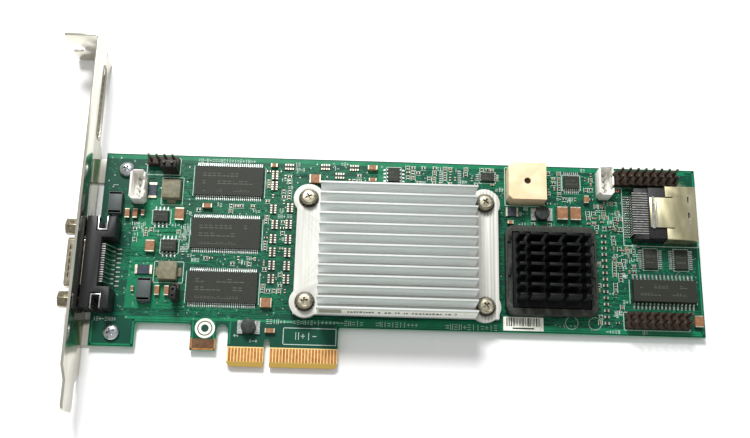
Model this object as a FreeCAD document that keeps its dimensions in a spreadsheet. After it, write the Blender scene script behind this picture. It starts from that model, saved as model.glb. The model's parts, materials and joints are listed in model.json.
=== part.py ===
import FreeCAD, Part
import os
import re
import Sketcher

# A low-profile RAID controller card on a full-height bracket, lying component side up.
# Frame: X along the card (bracket at -X), Y from the card-edge fingers up the card,
# Z out of the component face.  The origin is the middle of the card-edge key notch,
# on the fingers' lower edge, halfway through the board.

SIZES = {
    # bare board
    "board_thick": 1.57, "board_left": -55.6, "board_right": 138.5, "board_top": 68.9,
    "board_low": 12.9, "leg_low": 5.2, "leg_right": -41.5,
    "hook_left": -24.0, "hook_right": -16.0, "hook_low": 4.7,
    "edge_left": -12.3, "edge_right": 22.1, "key_wide": 1.9, "key_top": 8.7,
    "corner_round": 1.0, "edge_chamfer": 1.0, "bevel_deep": 0.42, "bevel_tall": 1.3,
    "tooling_x": 133.9, "tooling_y": 63.5, "tooling_bore": 3.0,
    # card-edge fingers
    "finger_pitch": 1.0, "finger_wide": 0.7, "finger_low": 1.5, "finger_tall": 4.3,
    "finger_thick": 0.05, "fingers_before_key": 11, "fingers_after_key": 21,
    # sheet-metal bracket
    "plate_thick": 0.86, "plate_wide": 18.42, "plate_long": 120.02, "plate_top": 104.1,
    "plate_gap": 2.3, "bend_round": 0.5, "tab_deep": 11.43, "fork_wide": 4.4, "fork_deep": 4.2,
    "fork_rise": 8.6, "relief_long": 2.8, "relief_rise": 5.7, "tongue_wide": 10.19,
    "tongue_shoulder": -3.0, "tongue_round": 2.0,
    "side_cut_low": 68.0, "side_cut_high": 100.0, "side_cut_deep": 3.7,
    "vent_y": 84.6, "vent_rise": 7.6, "vent_long": 26.5, "vent_wide": 5.4, "vent_emboss": 0.4,
    "vent_hole": 1.5, "vent_pitch": 2.2, "vent_row": 1.9, "vent_count": 10,
    "foot_wide": 8.2, "foot_reach": 4.3,
    # screws that hold the bracket and the big heatsink
    "screw_x": -48.6, "screw_low_y": 9.5, "screw_high_y": 63.2, "screw_shank": 2.9,
    "screw_hole": 3.1, "screw_head": 5.2, "screw_head_tall": 1.9, "head_slope": 0.6,
    # external four-lane port
    "port_y": 30.3, "port_rise": 4.6, "shell_wide": 15.6, "shell_tall": 5.4, "shell_out": 4.4,
    "shell_wall": 0.5, "shell_round": 1.2, "port_clear": 0.3, "jack_spacing": 23.45,
    "jack_across": 4.75, "jack_long": 5.9, "jack_bore": 2.26, "jack_bore_deep": 5.0,
    "jack_shank": 2.9, "jack_hole": 3.1, "port_long": 29.4, "port_tall": 8.0, "port_deep": 9.0,
    "lead_bay_long": 15.8, "lead_bay_deep": 3.9, "ear_notch_deep": 4.8, "ear_notch_wide": 3.5,
    "ear_wall": 3.1, "clip_thick": 0.4, "wafer_wide": 12.6, "wafer_thick": 1.2,
    "wafer_out": 3.2, "port_lead_pitch": 1.5, "port_ground_count": 9, "port_lead_wide": 0.35,
    "port_lead_thick": 0.2, "port_lead_rise": 6.2, "ground_foot": 3.7, "signal_foot": 1.9,
    "port_lead_flat": 1.2, "jack_thread": 2.5,
    # big extruded heatsink with four ears
    "sink_left": 7.8, "sink_right": 72.4, "sink_low": 16.2, "sink_high": 56.7,
    "sink_rise": 2.6, "sink_base": 1.8, "sink_top": 14.4, "flange_left": 7.6,
    "flange_right": 7.6, "fin_thick": 0.55, "fin_count": 13, "ear_round": 4.9,
    "ear_left": 11.4, "ear_right": 68.1, "ear_low": 20.0, "ear_high": 53.9,
    "sink_head": 5.7, "sink_head_tall": 2.2, "washer_across": 6.5, "washer_thick": 0.5,
    "washer_teeth": 12, "washer_tooth_deep": 0.35, "spacer_across": 5.8,
    "processor_wide": 35.0, "processor_tall": 2.3, "thermal_pad_wide": 28.0,
    # pin-fin heatsink and its snap-on frame
    "pins_x": 89.4, "pins_y": 32.7, "pins_base": 24.4, "pins_base_thick": 1.2,
    "pins_top": 11.3, "pin_row_pitch": 3.28, "pin_rows": 7, "pin_thick": 0.95,
    "pin_field": 22.6, "cross_gap": 1.4, "cross_pitch": 5.65, "cross_count": 4,
    "clip_wide": 29.2, "clip_round": 3.0, "clip_low": 0.4, "clip_top": 3.5,
    "clip_slot_long": 7.2, "clip_slot_wide": 1.2, "clip_slot_pitch": 11.2, "clip_fit": 0.3,
    "controller_wide": 26.6, "controller_tall": 2.0,
    # sounder
    "buzzer_x": 81.8, "buzzer_y": 61.45, "buzzer_long": 12.2, "buzzer_wide": 12.5,
    "buzzer_tall": 6.7, "buzzer_chamfer": 1.2, "buzzer_hole": 2.2,
    # memory, flash and logic packages
    "package_lift": 0.1, "lead_rise": 0.5, "lead_thick": 0.18,
    "memory_x": -15.0, "memory_y": 24.7, "memory_pitch": 17.75, "memory_long": 22.22,
    "memory_wide": 10.16, "memory_tall": 1.0, "memory_span": 12.2, "memory_lead_pitch": 0.65,
    "memory_lead_wide": 0.32, "memory_lead_count": 33,
    "flash_x": 125.75, "flash_y": 27.2, "flash_long": 20.6, "flash_wide": 7.5,
    "flash_tall": 2.3, "flash_span": 10.5, "flash_lead_pitch": 1.27, "flash_lead_wide": 0.45,
    "flash_lead_count": 16,
    "buffer_x": 122.2, "buffer_y": 38.0, "buffer_pitch": 9.9, "buffer_long": 6.5,
    "buffer_wide": 4.4, "buffer_span": 6.9, "buffer_lead_count": 10,
    "logic_x": 97.3, "logic_y": 63.3, "logic_long": 5.0, "logic_lead_count": 8,
    "thin_tall": 0.95, "fine_pitch": 0.65, "fine_lead_wide": 0.28,
    "power_long": 4.9, "power_wide": 3.9, "power_tall": 1.5, "power_span": 6.4,
    "power_pitch": 1.27, "power_lead_wide": 0.45, "power_lead_count": 4,
    # cable headers in ivory plastic
    "cable_left_x": -43.7, "cable_left_y": 56.6, "cable_right_x": 107.7, "cable_right_y": 62.6,
    "cable_long": 9.9, "cable_wide": 4.8, "cable_tall": 6.0, "cable_wall": 0.6,
    "cable_floor": 1.4, "cable_chamfer": 0.9, "cable_pitch": 2.0, "cable_count": 4,
    "cable_pin": 0.5, "cable_pin_top": 5.0, "cable_slot": 1.2,
    # black pin headers
    "pitch": 2.54, "pin_wide": 0.64, "pin_clear": 0.05, "pin_top": 8.3, "pin_below": 0.86,
    "block_tall": 2.54,
    "top_header_x": 121.65, "top_header_y": 64.95, "low_header_x": 123.15,
    "low_header_y": 17.55, "long_count": 8, "mode_header_x": -36.7, "mode_header_y": 66.1,
    "jumper_x": -29.5, "jumper_y": 22.4, "jumper_pitch": 2.0, "jumper_count": 3,
    "jumper_cap_tall": 4.4, "jumper_pin_top": 5.6, "jumper_block_tall": 2.0,
    # internal four-lane port
    "cage_left": 126.4, "cage_right": 136.2, "cage_y": 52.1, "cage_wide": 18.0,
    "cage_tall": 6.3, "cage_sheet": 0.3, "leaf_wide": 10.0, "leaf_left": 121.2,
    "leaf_slit": 0.35, "leaf_slit_deep": 2.4, "cage_slot_wide": 0.7, "cage_slot_long": 1.9,
    "cage_slot_pitch": 5.3, "core_left": 121.0, "shelf_left": 116.6, "shelf_tall": 4.6,
    "core_tall": 5.6, "blade_wide": 14.6, "blade_thick": 1.0, "blade_rise": 2.5,
    "blade_right": 134.4, "bay_lead_pitch": 0.8, "bay_lead_count": 18, "bay_lead_wide": 0.35,
    "bay_lead_thick": 0.2, "bay_lead_foot": 1.8,
    "bay_lead_gap": 0.7,
    "groove_pitch": 1.05, "groove_wide": 0.4, "groove_deep": 0.25, "groove_count": 6,
    "pin_low": 2.2, "pin_short": 0.6,
    "power_x": -36.1, "power_y": 47.5, "power_step_x": 3.3, "power_step_y": -9.7,
    "driver_x": 38.75, "driver_y": 64.0, "sensor_x": 69.6, "sensor_y": 64.3,
    "sensor_long": 3.0,
    # power parts
    "coil_long": 6.3, "coil_wide": 5.9, "coil_tall": 3.0, "coil_end": 0.5, "coil_foot": 1.2,
    "drum_across": 4.6, "drum_tall": 2.9, "drum_base_long": 7.0, "drum_base_wide": 4.4,
    "drum_base_tall": 0.6, "tantalum_long": 7.3, "tantalum_wide": 4.3, "tantalum_tall": 2.8,
    "tantalum_end": 0.5, "ceramic_tall": 1.6, "ceramic_end": 0.45, "shunt_tall": 0.6,
    "array_long": 3.2, "array_wide": 1.6, "array_tall": 0.5, "chip_long": 1.6,
    "chip_wide": 0.8, "chip_pitch": 2.05, "chip_count": 15, "chip_column_x": 107.2,
    "chip_column_y": 16.6, "sticker_x": -19.6, "sticker_y": 11.6, "sticker_across": 6.3,
    "tag_x": 80.6, "tag_y": 15.7, "tag_long": 12.8, "tag_wide": 4.4, "paper_thick": 0.08,
    "front_label_long": 48.4, "front_label_tall": 5.6, "front_label_rise": 7.2,
}

doc = FreeCAD.newDocument("raid_controller_card")
sheet = doc.addObject("Spreadsheet::Sheet", "sizes")
for row, (alias, number) in enumerate(SIZES.items(), 1):
    sheet.set(f"A{row}", alias)
    sheet.set(f"B{row}", str(number))
    sheet.setAlias(f"B{row}", alias)
doc.recompute()

TOP = "board_thick / 2"
UNDER = "-board_thick / 2"
nodes = []


def bound(expression):
    """The expression with each named size read from the sheet."""
    return re.sub(r"[A-Za-z_]+", lambda word: f"sizes.{word[0]}" if word[0] in SIZES else word[0],
                  str(expression))


def real(expression):
    """The value of an expression of named sizes."""
    return float(sheet.evalExpression(bound(expression)))


def bind(thing, **expressions):
    """Ties properties to expressions; a double underscore stands for a dot."""
    for path, expression in expressions.items():
        thing.setExpression(path.replace("__", "."), bound(expression))
    return thing


def place(thing, x="0", y="0", z="0"):
    return bind(thing, Placement__Base__x=x, Placement__Base__y=y, Placement__Base__z=z)


def keep(thing, label):
    """Marks an object as one finished piece, or one group of like pieces."""
    thing.Label = label
    nodes.append(thing)
    return thing


def new_body(label, x="0", y="0", z="0"):
    body = doc.addObject("PartDesign::Body", label)
    body.AllowCompound = True
    place(body, x, y, z)
    return keep(body, label)


def origin_part(body, role):
    return next(part for part in body.Origin.OriginFeatures if part.Role == role)


def new_sketch(body, plane="XY_Plane", offset="0"):
    sketch = body.newObject("Sketcher::SketchObject", "sketch")
    sketch.AttachmentSupport = [(origin_part(body, plane), "")]
    sketch.MapMode = "FlatFace"
    bind(sketch, AttachmentOffset__Base__z=offset)
    return sketch


def pin_down(sketch, edge, end, x, y):
    """Holds one point of a sketch at a pair of expressions."""
    for axis, expression in (("X", x), ("Y", y)):
        number = sketch.addConstraint(
            Sketcher.Constraint(f"Distance{axis}", -1, 1, edge, end, real(expression)))
        sketch.renameConstraint(number, f"{axis.lower()}{edge}p{end}")
        bind(sketch, **{f"Constraints.{axis.lower()}{edge}p{end}": expression})


def outline(sketch, corners):
    """Draws a closed straight-sided outline through the corners."""
    points = [FreeCAD.Vector(real(x), real(y), 0) for x, y in corners]
    first = sketch.GeometryCount
    count = len(points)
    for i in range(count):
        sketch.addGeometry(Part.LineSegment(points[i], points[(i + 1) % count]))
    for i in range(count):
        sketch.addConstraint(
            Sketcher.Constraint("Coincident", first + i, 2, first + (i + 1) % count, 1))
    for i, (x, y) in enumerate(corners):
        pin_down(sketch, first + i, 1, x, y)
    return sketch


def oblong(sketch, x, y, wide, tall):
    """Draws a rectangle about its middle."""
    low_x, high_x = f"{x} - ({wide}) / 2", f"{x} + ({wide}) / 2"
    low_y, high_y = f"{y} - ({tall}) / 2", f"{y} + ({tall}) / 2"
    return outline(sketch, [(low_x, low_y), (high_x, low_y), (high_x, high_y), (low_x, high_y)])


def ring(sketch, x, y, across):
    """Draws a circle by its diameter."""
    centre = FreeCAD.Vector(real(x), real(y), 0)
    edge = sketch.addGeometry(Part.Circle(centre, FreeCAD.Vector(0, 0, 1), real(across) / 2))
    pin_down(sketch, edge, 3, x, y)
    number = sketch.addConstraint(Sketcher.Constraint("Diameter", edge, real(across)))
    sketch.renameConstraint(number, f"across{edge}")
    bind(sketch, **{f"Constraints.across{edge}": across})
    return sketch


def pad(body, sketch, length, middle=False, back=False):
    feature = body.newObject("PartDesign::Pad", "pad")
    feature.Profile = sketch
    feature.Midplane = middle
    feature.Reversed = back
    bind(feature, Length=length)
    doc.recompute()
    return feature


def pocket(body, sketch, depth, middle=False, back=False):
    """Cuts a sketch into the body, and makes sure that something was cut."""
    before = body.Shape.Volume
    feature = body.newObject("PartDesign::Pocket", "pocket")
    feature.Profile = sketch
    feature.Midplane = middle
    feature.Reversed = back
    bind(feature, Length=depth)
    doc.recompute()
    if not body.Shape.Volume < before - 1e-6:
        raise RuntimeError(f"{body.Label}: a pocket cuts nothing")
    return feature


def row_of(body, feature, axis, pitch, count, axis_two=None, pitch_two="0", count_two="1"):
    """Repeats a feature along one or two axes at a fixed pitch."""
    pattern = body.newObject("PartDesign::LinearPattern", "row")
    pattern.Originals = [feature]
    pattern.Direction = (origin_part(body, f"{axis}_Axis"), [""])
    bind(pattern, Length=f"({pitch}) * ({count} - 1)", Occurrences=count)
    if axis_two:
        pattern.Direction2 = (origin_part(body, f"{axis_two}_Axis"), [""])
        bind(pattern, Length2=f"({pitch_two}) * ({count_two} - 1)", Occurrences2=count_two)
    body.Tip = pattern
    doc.recompute()
    return pattern


def edges_where(body, test):
    """Names of the tip's edges whose two ends and middle all pass a test."""
    names = []
    for number, edge in enumerate(body.Tip.Shape.Edges, 1):
        if len(edge.Vertexes) == 2 and test(edge.Vertexes[0].Point, edge.Vertexes[1].Point):
            names.append(f"Edge{number}")
    return names


def upright_at(x, y, slack=0.02):
    """A test for edges along Z through a point given by expressions."""
    place_x, place_y = real(x), real(y)

    def test(start, end):
        return all(abs(point.x - place_x) < slack and abs(point.y - place_y) < slack
                   for point in (start, end))
    return test


def dress(body, kind, names, size):
    """Rounds or chamfers the named edges of the body's tip."""
    if not names:
        raise RuntimeError(f"{body.Label}: no edge to {kind}")
    before = body.Tip
    feature = body.newObject(f"PartDesign::{kind}", kind.lower())
    feature.Base = (before, names)
    bind(feature, **{"Radius" if kind == "Fillet" else "Size": size})
    doc.recompute()
    return feature


def block(x, y, z, long, wide, tall):
    """A plain box about its middle in plan, standing on z."""
    box = doc.addObject("Part::Box", "block")
    bind(box, Length=long, Width=wide, Height=tall)
    return place(box, f"{x} - ({long}) / 2", f"{y} - ({wide}) / 2", z)


def group(label, pieces):
    """Several like solids in one node."""
    compound = doc.addObject("Part::Compound", label)
    compound.Links = pieces
    return keep(compound, label)


def raw_body(label, x="0", y="0", z="0"):
    """A body that becomes one member of a group."""
    body = doc.addObject("PartDesign::Body", label)
    body.AllowCompound = True
    return place(body, x, y, z)


def plate_of(body, corners, thick, plane="XY_Plane", offset="0", back=False, middle=False):
    """Adds one straight-sided slab to a body."""
    return pad(body, outline(new_sketch(body, plane, offset), corners), thick, middle, back)


def slab(body, x, y, long, wide, tall, offset="0"):
    """Adds a box about its middle in plan, standing on the offset."""
    return pad(body, oblong(new_sketch(body, "XY_Plane", offset), x, y, long, wide), tall)


# ---------------------------------------------------------------- board

PLATE_LOW = "(-board_thick / 2 - plate_thick)"
PLATE_MIDDLE = f"({PLATE_LOW} + plate_wide / 2)"
PLATE_HIGH = f"({PLATE_LOW} + plate_wide)"
PLATE_IN = "(board_left - plate_gap)"
PLATE_OUT = "(board_left - plate_gap - plate_thick)"
PORT_Z = "(board_thick / 2 + port_rise)"


def board_corners():
    half_key = "key_wide / 2"
    return [
        ("board_left", "leg_low"), ("leg_right", "leg_low"), ("leg_right", "board_low"),
        ("hook_left", "board_low"), ("hook_left", "hook_low"), ("hook_right", "hook_low"),
        ("hook_right", "board_low"), ("edge_left", "board_low"), ("edge_left", "0"),
        (f"-{half_key}", "0"), (f"-{half_key}", "key_top"), (half_key, "key_top"),
        (half_key, "0"), ("edge_right", "0"), ("edge_right", "board_low"),
        ("board_right", "board_low"), ("board_right", "board_top"), ("board_left", "board_top"),
    ]


def pin_holes(body, x, y, columns, rows, pitch="pitch", wide="pin_wide"):
    """Clearance holes for a block of square pins, from its low-X low-Y pin."""
    hole = f"{wide} + 2 * pin_clear"
    sketch = oblong(new_sketch(body, "XY_Plane", "board_thick"), x, y, hole, hole)
    cut = pocket(body, sketch, "2 * board_thick")
    if columns == "1":
        return row_of(body, cut, "Y", pitch, rows)
    if rows == "1":
        return row_of(body, cut, "X", pitch, columns)
    return row_of(body, cut, "X", pitch, columns, "Y", pitch, rows)


def circuit_board():
    body = new_body("circuit_board", z="-board_thick / 2")
    plate_of(body, board_corners(), "board_thick")
    dress(body, "Chamfer", edges_where(body, upright_at("edge_left", "0"))
          + edges_where(body, upright_at("edge_right", "0")), "edge_chamfer")
    dress(body, "Fillet", edges_where(body, upright_at("-key_wide / 2", "key_top"))
          + edges_where(body, upright_at("key_wide / 2", "key_top")), "key_wide / 2 - pin_clear")
    dress(body, "Fillet", edges_where(body, upright_at("hook_right", "board_low"))
          + edges_where(body, upright_at("edge_left", "board_low")),
          "(edge_left - hook_right) / 2 - pin_clear")
    inner = [("leg_right", "board_low"), ("hook_left", "board_low"), ("edge_right", "board_low")]
    dress(body, "Fillet", [edge for spot in inner for edge in edges_where(body, upright_at(*spot))],
          "corner_round")
    bevel = new_sketch(body, "YZ_Plane")
    outline(bevel, [("-bevel_deep", "-bevel_deep"), ("bevel_tall", "0"),
                    ("0", "bevel_deep")])
    outline(bevel, [("0", "board_thick - bevel_deep"), ("bevel_tall", "board_thick"),
                    ("-bevel_deep", "board_thick + bevel_deep")])
    pocket(body, bevel, "2 * (edge_right - edge_left)", middle=True)
    holes = new_sketch(body, "XY_Plane", "board_thick")
    for y in ("screw_low_y", "screw_high_y"):
        ring(holes, "screw_x", y, "screw_hole")
    ring(holes, "tooling_x", "tooling_y", "tooling_bore")
    pocket(body, holes, "2 * board_thick")
    for x, y in (("top_header_x", "top_header_y"), ("low_header_x", "low_header_y")):
        pin_holes(body, f"{x} - (long_count - 1) * pitch / 2", f"{y} - pitch / 2",
                  "long_count", "2")
    pin_holes(body, "mode_header_x - 1.5 * pitch", "mode_header_y", "4", "1")
    pin_holes(body, "mode_header_x + 0.5 * pitch", "mode_header_y - pitch", "2", "1")
    pin_holes(body, "jumper_x", "jumper_y - jumper_pitch", "1", "jumper_count", "jumper_pitch",
              "cable_pin")
    for x, y in (("cable_left_x", "cable_left_y"), ("cable_right_x", "cable_right_y")):
        pin_holes(body, x, f"{y} - 1.5 * cable_pitch", "1", "cable_count", "cable_pitch",
                  "cable_pin")


def gold_fingers():
    body = new_body("gold_fingers", z=UNDER)
    runs = (("-fingers_before_key * finger_pitch - finger_pitch / 2", "fingers_before_key"),
            ("3 * finger_pitch / 2", "fingers_after_key"))
    for first, count in runs:
        sketch = new_sketch(body, "XY_Plane", "-finger_thick")
        oblong(sketch, first, "finger_low + finger_tall / 2", "finger_wide", "finger_tall")
        row_of(body, pad(body, sketch, "finger_thick"), "X", "finger_pitch", count,
               "Z", "board_thick + finger_thick", "2")


# ---------------------------------------------------------------- bracket

def bracket_plate(body):
    inset = "((plate_wide - tongue_wide) / 2)"
    tip = "plate_top - plate_long"
    near, far = f"{PLATE_MIDDLE} - tongue_wide / 2", f"{PLATE_MIDDLE} + tongue_wide / 2"
    raised = f"{PLATE_LOW} + side_cut_deep"
    plate_of(body, [
        (tip, near), (tip, far), (f"tongue_shoulder - {inset}", far),
        ("tongue_shoulder", PLATE_HIGH), ("plate_top", PLATE_HIGH), ("plate_top", PLATE_LOW),
        ("side_cut_high", PLATE_LOW), ("side_cut_high - side_cut_deep", raised),
        ("side_cut_low + side_cut_deep", raised), ("side_cut_low", PLATE_LOW),
        ("tongue_shoulder", PLATE_LOW), (f"tongue_shoulder - {inset}", near),
    ], "plate_thick", "YZ_Plane", PLATE_OUT)
    tips = [edge for edge in edges_where(
        body, lambda a, b: abs(a.y - real(tip)) + abs(b.y - real(tip)) < 0.02
        and abs(a.z - b.z) < 0.01)]
    dress(body, "Fillet", tips, "tongue_round")


def bracket_tab(body):
    end = f"({PLATE_IN} - tab_deep)"
    low, high = f"{PLATE_LOW} + fork_rise - fork_wide / 2", f"{PLATE_LOW} + fork_rise + fork_wide / 2"
    plate_of(body, [
        (PLATE_IN, PLATE_LOW), (PLATE_IN, PLATE_HIGH), (end, PLATE_HIGH), (end, high),
        (f"{end} + fork_deep", high), (f"{end} + fork_deep", low), (end, low),
        (end, f"{PLATE_LOW} + edge_chamfer"), (f"{end} + edge_chamfer", PLATE_LOW),
    ], "plate_thick", "XZ_Plane", "-plate_top")
    throat = real(f"{end} + fork_deep")
    corners = edges_where(body, lambda a, b: abs(a.x - throat) + abs(b.x - throat) < 0.02
                          and abs(a.z - b.z) < 0.01)
    dress(body, "Fillet", corners, "fork_wide / 2 - pin_clear")
    bend = [(PLATE_IN, "plate_top", "bend_round + plate_thick"),
            (PLATE_OUT, "plate_top - plate_thick", "bend_round")]
    for x, y, size in bend:
        dress(body, "Fillet", edges_where(body, upright_at(x, y)), size)
    relief = new_sketch(body, "XY_Plane", f"{PLATE_LOW} + relief_rise")
    oblong(relief, f"({PLATE_IN} + {PLATE_OUT} - relief_long) / 2", "plate_top - plate_thick",
           f"{PLATE_IN} - {PLATE_OUT} + relief_long", "4 * plate_thick")
    pocket(body, relief, "relief_rise + plate_thick")


def bracket_feet(body):
    for y in ("screw_low_y", "screw_high_y"):
        long = f"(screw_x + foot_reach - {PLATE_OUT})"
        slab(body, f"{PLATE_OUT} + {long} / 2", y, long, "foot_wide", "plate_thick", PLATE_LOW)
        end = real("screw_x + foot_reach")
        tips = edges_where(body, lambda a, b: abs(a.x - end) + abs(b.x - end) < 0.02
                           and abs(a.y - b.y) < 0.01)
        dress(body, "Fillet", tips, "tongue_round")
    holes = new_sketch(body, "XY_Plane", UNDER)
    for y in ("screw_low_y", "screw_high_y"):
        ring(holes, "screw_x", y, "screw_hole")
    pocket(body, holes, "2 * plate_thick")


def stadium(sketch, y, z, long, wide):
    """Draws an eight-sided pressed field, long in the sketch's first direction."""
    far, cut = f"({long}) / 2", f"({wide}) / 3"
    half = f"({wide}) / 2"
    corners = []
    for a, b in ((-1, -1), (1, -1), (1, 1), (-1, 1)):
        pair = [(f"{y} + ({a}) * {far}", f"{z} + ({b}) * ({half} - {cut})"),
                (f"{y} + ({a}) * ({far} - {cut})", f"{z} + ({b}) * {half}")]
        corners += pair if a * b > 0 else pair[::-1]
    return outline(sketch, corners)


def bracket_vent(body):
    rise = f"({PLATE_LOW} + vent_rise)"
    raised = stadium(new_sketch(body, "YZ_Plane", PLATE_OUT), "vent_y", rise, "vent_long",
                     "vent_wide")
    pad(body, raised, "vent_emboss", back=True)
    sunk = stadium(new_sketch(body, "YZ_Plane", PLATE_IN), "vent_y", rise,
                   "vent_long - 2 * vent_emboss", "vent_wide - 2 * vent_emboss")
    pocket(body, sunk, "vent_emboss")
    for row in (-1, 1):
        first = f"vent_y - (vent_count - 1) * vent_pitch / 2 + ({row}) * vent_pitch / 4"
        hexagon = new_sketch(body, "YZ_Plane", PLATE_IN)
        six_sides(hexagon, first, f"{rise} + ({row}) * vent_row / 2", "vent_hole")
        row_of(body, pocket(body, hexagon, "2 * plate_thick"), "Y", "vent_pitch", "vent_count")


def six_sides(sketch, x, y, across):
    """Draws a hexagon by its width across flats, the flats facing the first direction."""
    side, tip = f"({across}) / 2", f"({across}) / sqrt(3)"
    return outline(sketch, [
        (f"{x} - {side}", f"{y} - {tip} / 2"), (x, f"{y} - {tip}"),
        (f"{x} + {side}", f"{y} - {tip} / 2"), (f"{x} + {side}", f"{y} + {tip} / 2"),
        (x, f"{y} + {tip}"), (f"{x} - {side}", f"{y} + {tip} / 2")])


def mounting_bracket():
    body = new_body("mounting_bracket")
    bracket_plate(body)
    bracket_tab(body)
    bracket_feet(body)
    bracket_vent(body)
    mouth = new_sketch(body, "YZ_Plane", PLATE_IN)
    oblong(mouth, "port_y", PORT_Z, "shell_wide + 2 * port_clear", "shell_tall + 2 * port_clear")
    pocket(body, mouth, "2 * plate_thick")
    jacks = new_sketch(body, "YZ_Plane", PLATE_IN)
    for side in (-1, 1):
        ring(jacks, f"port_y + ({side}) * jack_spacing / 2", PORT_Z, "jack_hole")
    pocket(body, jacks, "2 * plate_thick")


def pan_screw(label, x, y, z, head, head_tall, shank, long):
    """A pan-head screw, head up, its seat at the origin of the body."""
    body = raw_body(label, x, y, z)
    pad(body, ring(new_sketch(body), "0", "0", head), head_tall)
    rim = [f"Edge{i}" for i, edge in enumerate(body.Tip.Shape.Edges, 1)
           if edge.BoundBox.ZMin > real(head_tall) - 0.01]
    dress(body, "Chamfer", rim, "head_slope")
    pad(body, ring(new_sketch(body), "0", "0", shank), long, back=True)
    return body


def bracket_screws():
    screws = [pan_screw("bracket_screw", "screw_x", y, TOP, "screw_head", "screw_head_tall",
                        "screw_shank", "board_thick + plate_thick")
              for y in ("screw_low_y", "screw_high_y")]
    group("bracket_screws", screws)


# ---------------------------------------------------------------- external port

def external_port_shell():
    body = new_body("external_port_shell")
    front, long = f"({PLATE_OUT} - shell_out)", "(shell_out + plate_thick + port_clear)"
    pad(body, oblong(new_sketch(body, "YZ_Plane", front), "port_y", PORT_Z, "shell_wide",
                     "shell_tall"), long)
    for inner in (False, True):
        if inner:
            pocket(body, oblong(new_sketch(body, "YZ_Plane", front), "port_y", PORT_Z,
                                "shell_wide - 2 * shell_wall", "shell_tall - 2 * shell_wall"),
                   long, back=True)
        wide = "shell_wide - 2 * shell_wall" if inner else "shell_wide"
        reach = real(f"({wide}) / 2")
        middle = real("port_y")
        size = "shell_round - shell_wall" if inner else "shell_round"
        corners = edges_where(body, lambda a, b: abs(a.x - b.x) > 1
                              and abs(abs(a.y - middle) - reach) < 0.01)
        dress(body, "Fillet", corners, size)


def external_port_housing():
    body = new_body("external_port_housing", z=TOP)
    front = f"({PLATE_IN} + port_clear)"
    back = f"({front} + port_deep)"
    slab(body, f"{front} + port_deep / 2", "port_y", "port_deep", "port_long", "port_tall")
    bay = oblong(new_sketch(body, "XY_Plane", "port_tall"), f"{back} - lead_bay_deep / 2",
                 "port_y", "lead_bay_deep + port_clear", "lead_bay_long")
    pocket(body, bay, "port_tall")
    ears = new_sketch(body, "XY_Plane", "port_tall")
    for side in (-1, 1):
        oblong(ears, f"{front} + ear_wall + ear_notch_wide / 2",
               f"port_y + ({side}) * (port_long - ear_notch_deep) / 2", "ear_notch_wide",
               "ear_notch_deep")
    pocket(body, ears, "port_tall - port_clear")
    shanks = new_sketch(body, "YZ_Plane", front)
    for side in (-1, 1):
        ring(shanks, f"port_y + ({side}) * jack_spacing / 2", "port_rise", "jack_hole")
    pocket(body, shanks, "ear_wall", back=True)


def external_port_tongue():
    body = new_body("external_port_tongue")
    front = f"({PLATE_OUT} - wafer_out)"
    pad(body, oblong(new_sketch(body, "YZ_Plane", front), "port_y", PORT_Z, "wafer_wide",
                     "wafer_thick"), "wafer_out + plate_thick + port_clear")


def ribbon(points, thick):
    """The closed outline of a strip that lies above a path of rising or falling steps."""
    return points + [(x, f"({y}) + {thick}") for x, y in reversed(points)]


def external_port_contacts():
    body = new_body("external_port_contacts", z=TOP)
    wall = f"({PLATE_IN} + port_clear + port_deep - lead_bay_deep - port_clear / 2)"
    pitch = "port_lead_pitch"
    for foot, count in (("ground_foot", "port_ground_count"),
                        ("signal_foot", "(port_ground_count - 1)")):
        path = [(wall, "port_lead_rise"), (f"{wall} + port_lead_flat", "port_lead_rise"),
                (f"{wall} + {foot}", "0"), (f"{wall} + {foot} + port_lead_flat", "0")]
        start = f"port_y - ({count} - 1) * {pitch} / 2 - port_lead_wide / 2"
        lead = plate_of(body, ribbon(path, "port_lead_thick"), "port_lead_wide", "XZ_Plane",
                        f"-({start})", back=True)
        row_of(body, lead, "Y", pitch, count)


def external_port_jack_sockets():
    body = new_body("external_port_jack_sockets", y="port_y - jack_spacing / 2", z=PORT_Z)
    hexagon = pad(body, six_sides(new_sketch(body, "YZ_Plane", PLATE_OUT), "0", "0",
                                  "jack_across"), "jack_long", back=True)
    row_of(body, hexagon, "Y", "jack_spacing", "2")
    shank = pad(body, ring(new_sketch(body, "YZ_Plane", PLATE_OUT), "0", "0", "jack_shank"),
                "plate_thick + port_clear + jack_thread")
    row_of(body, shank, "Y", "jack_spacing", "2")
    bore = pocket(body, ring(new_sketch(body, "YZ_Plane", f"{PLATE_OUT} - jack_long"), "0", "0",
                             "jack_bore"), "jack_bore_deep", back=True)
    row_of(body, bore, "Y", "jack_spacing", "2")


def external_port_clips():
    clips = []
    left = f"({PLATE_IN} + port_clear + ear_wall + port_clear / 2)"
    wide = "(ear_notch_wide - port_clear)"
    for side in (-1, 1):
        body = raw_body("external_port_clip", z=TOP)
        far, near = f"port_y + ({side}) * port_long / 2", (
            f"port_y + ({side}) * (port_long / 2 - ear_notch_deep + port_clear)")
        inner = f"{near} + ({side}) * clip_thick"
        plate_of(body, [
            (left, far), (left, near), (f"{left} + {wide}", near), (f"{left} + {wide}", far),
            (f"{left} + {wide} - clip_thick", far), (f"{left} + {wide} - clip_thick", inner),
            (f"{left} + clip_thick", inner), (f"{left} + clip_thick", far),
        ], "port_tall - 2 * port_clear", offset="port_clear")
        clips.append(body)
    group("external_port_clips", clips)


# ---------------------------------------------------------------- big heatsink

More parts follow.
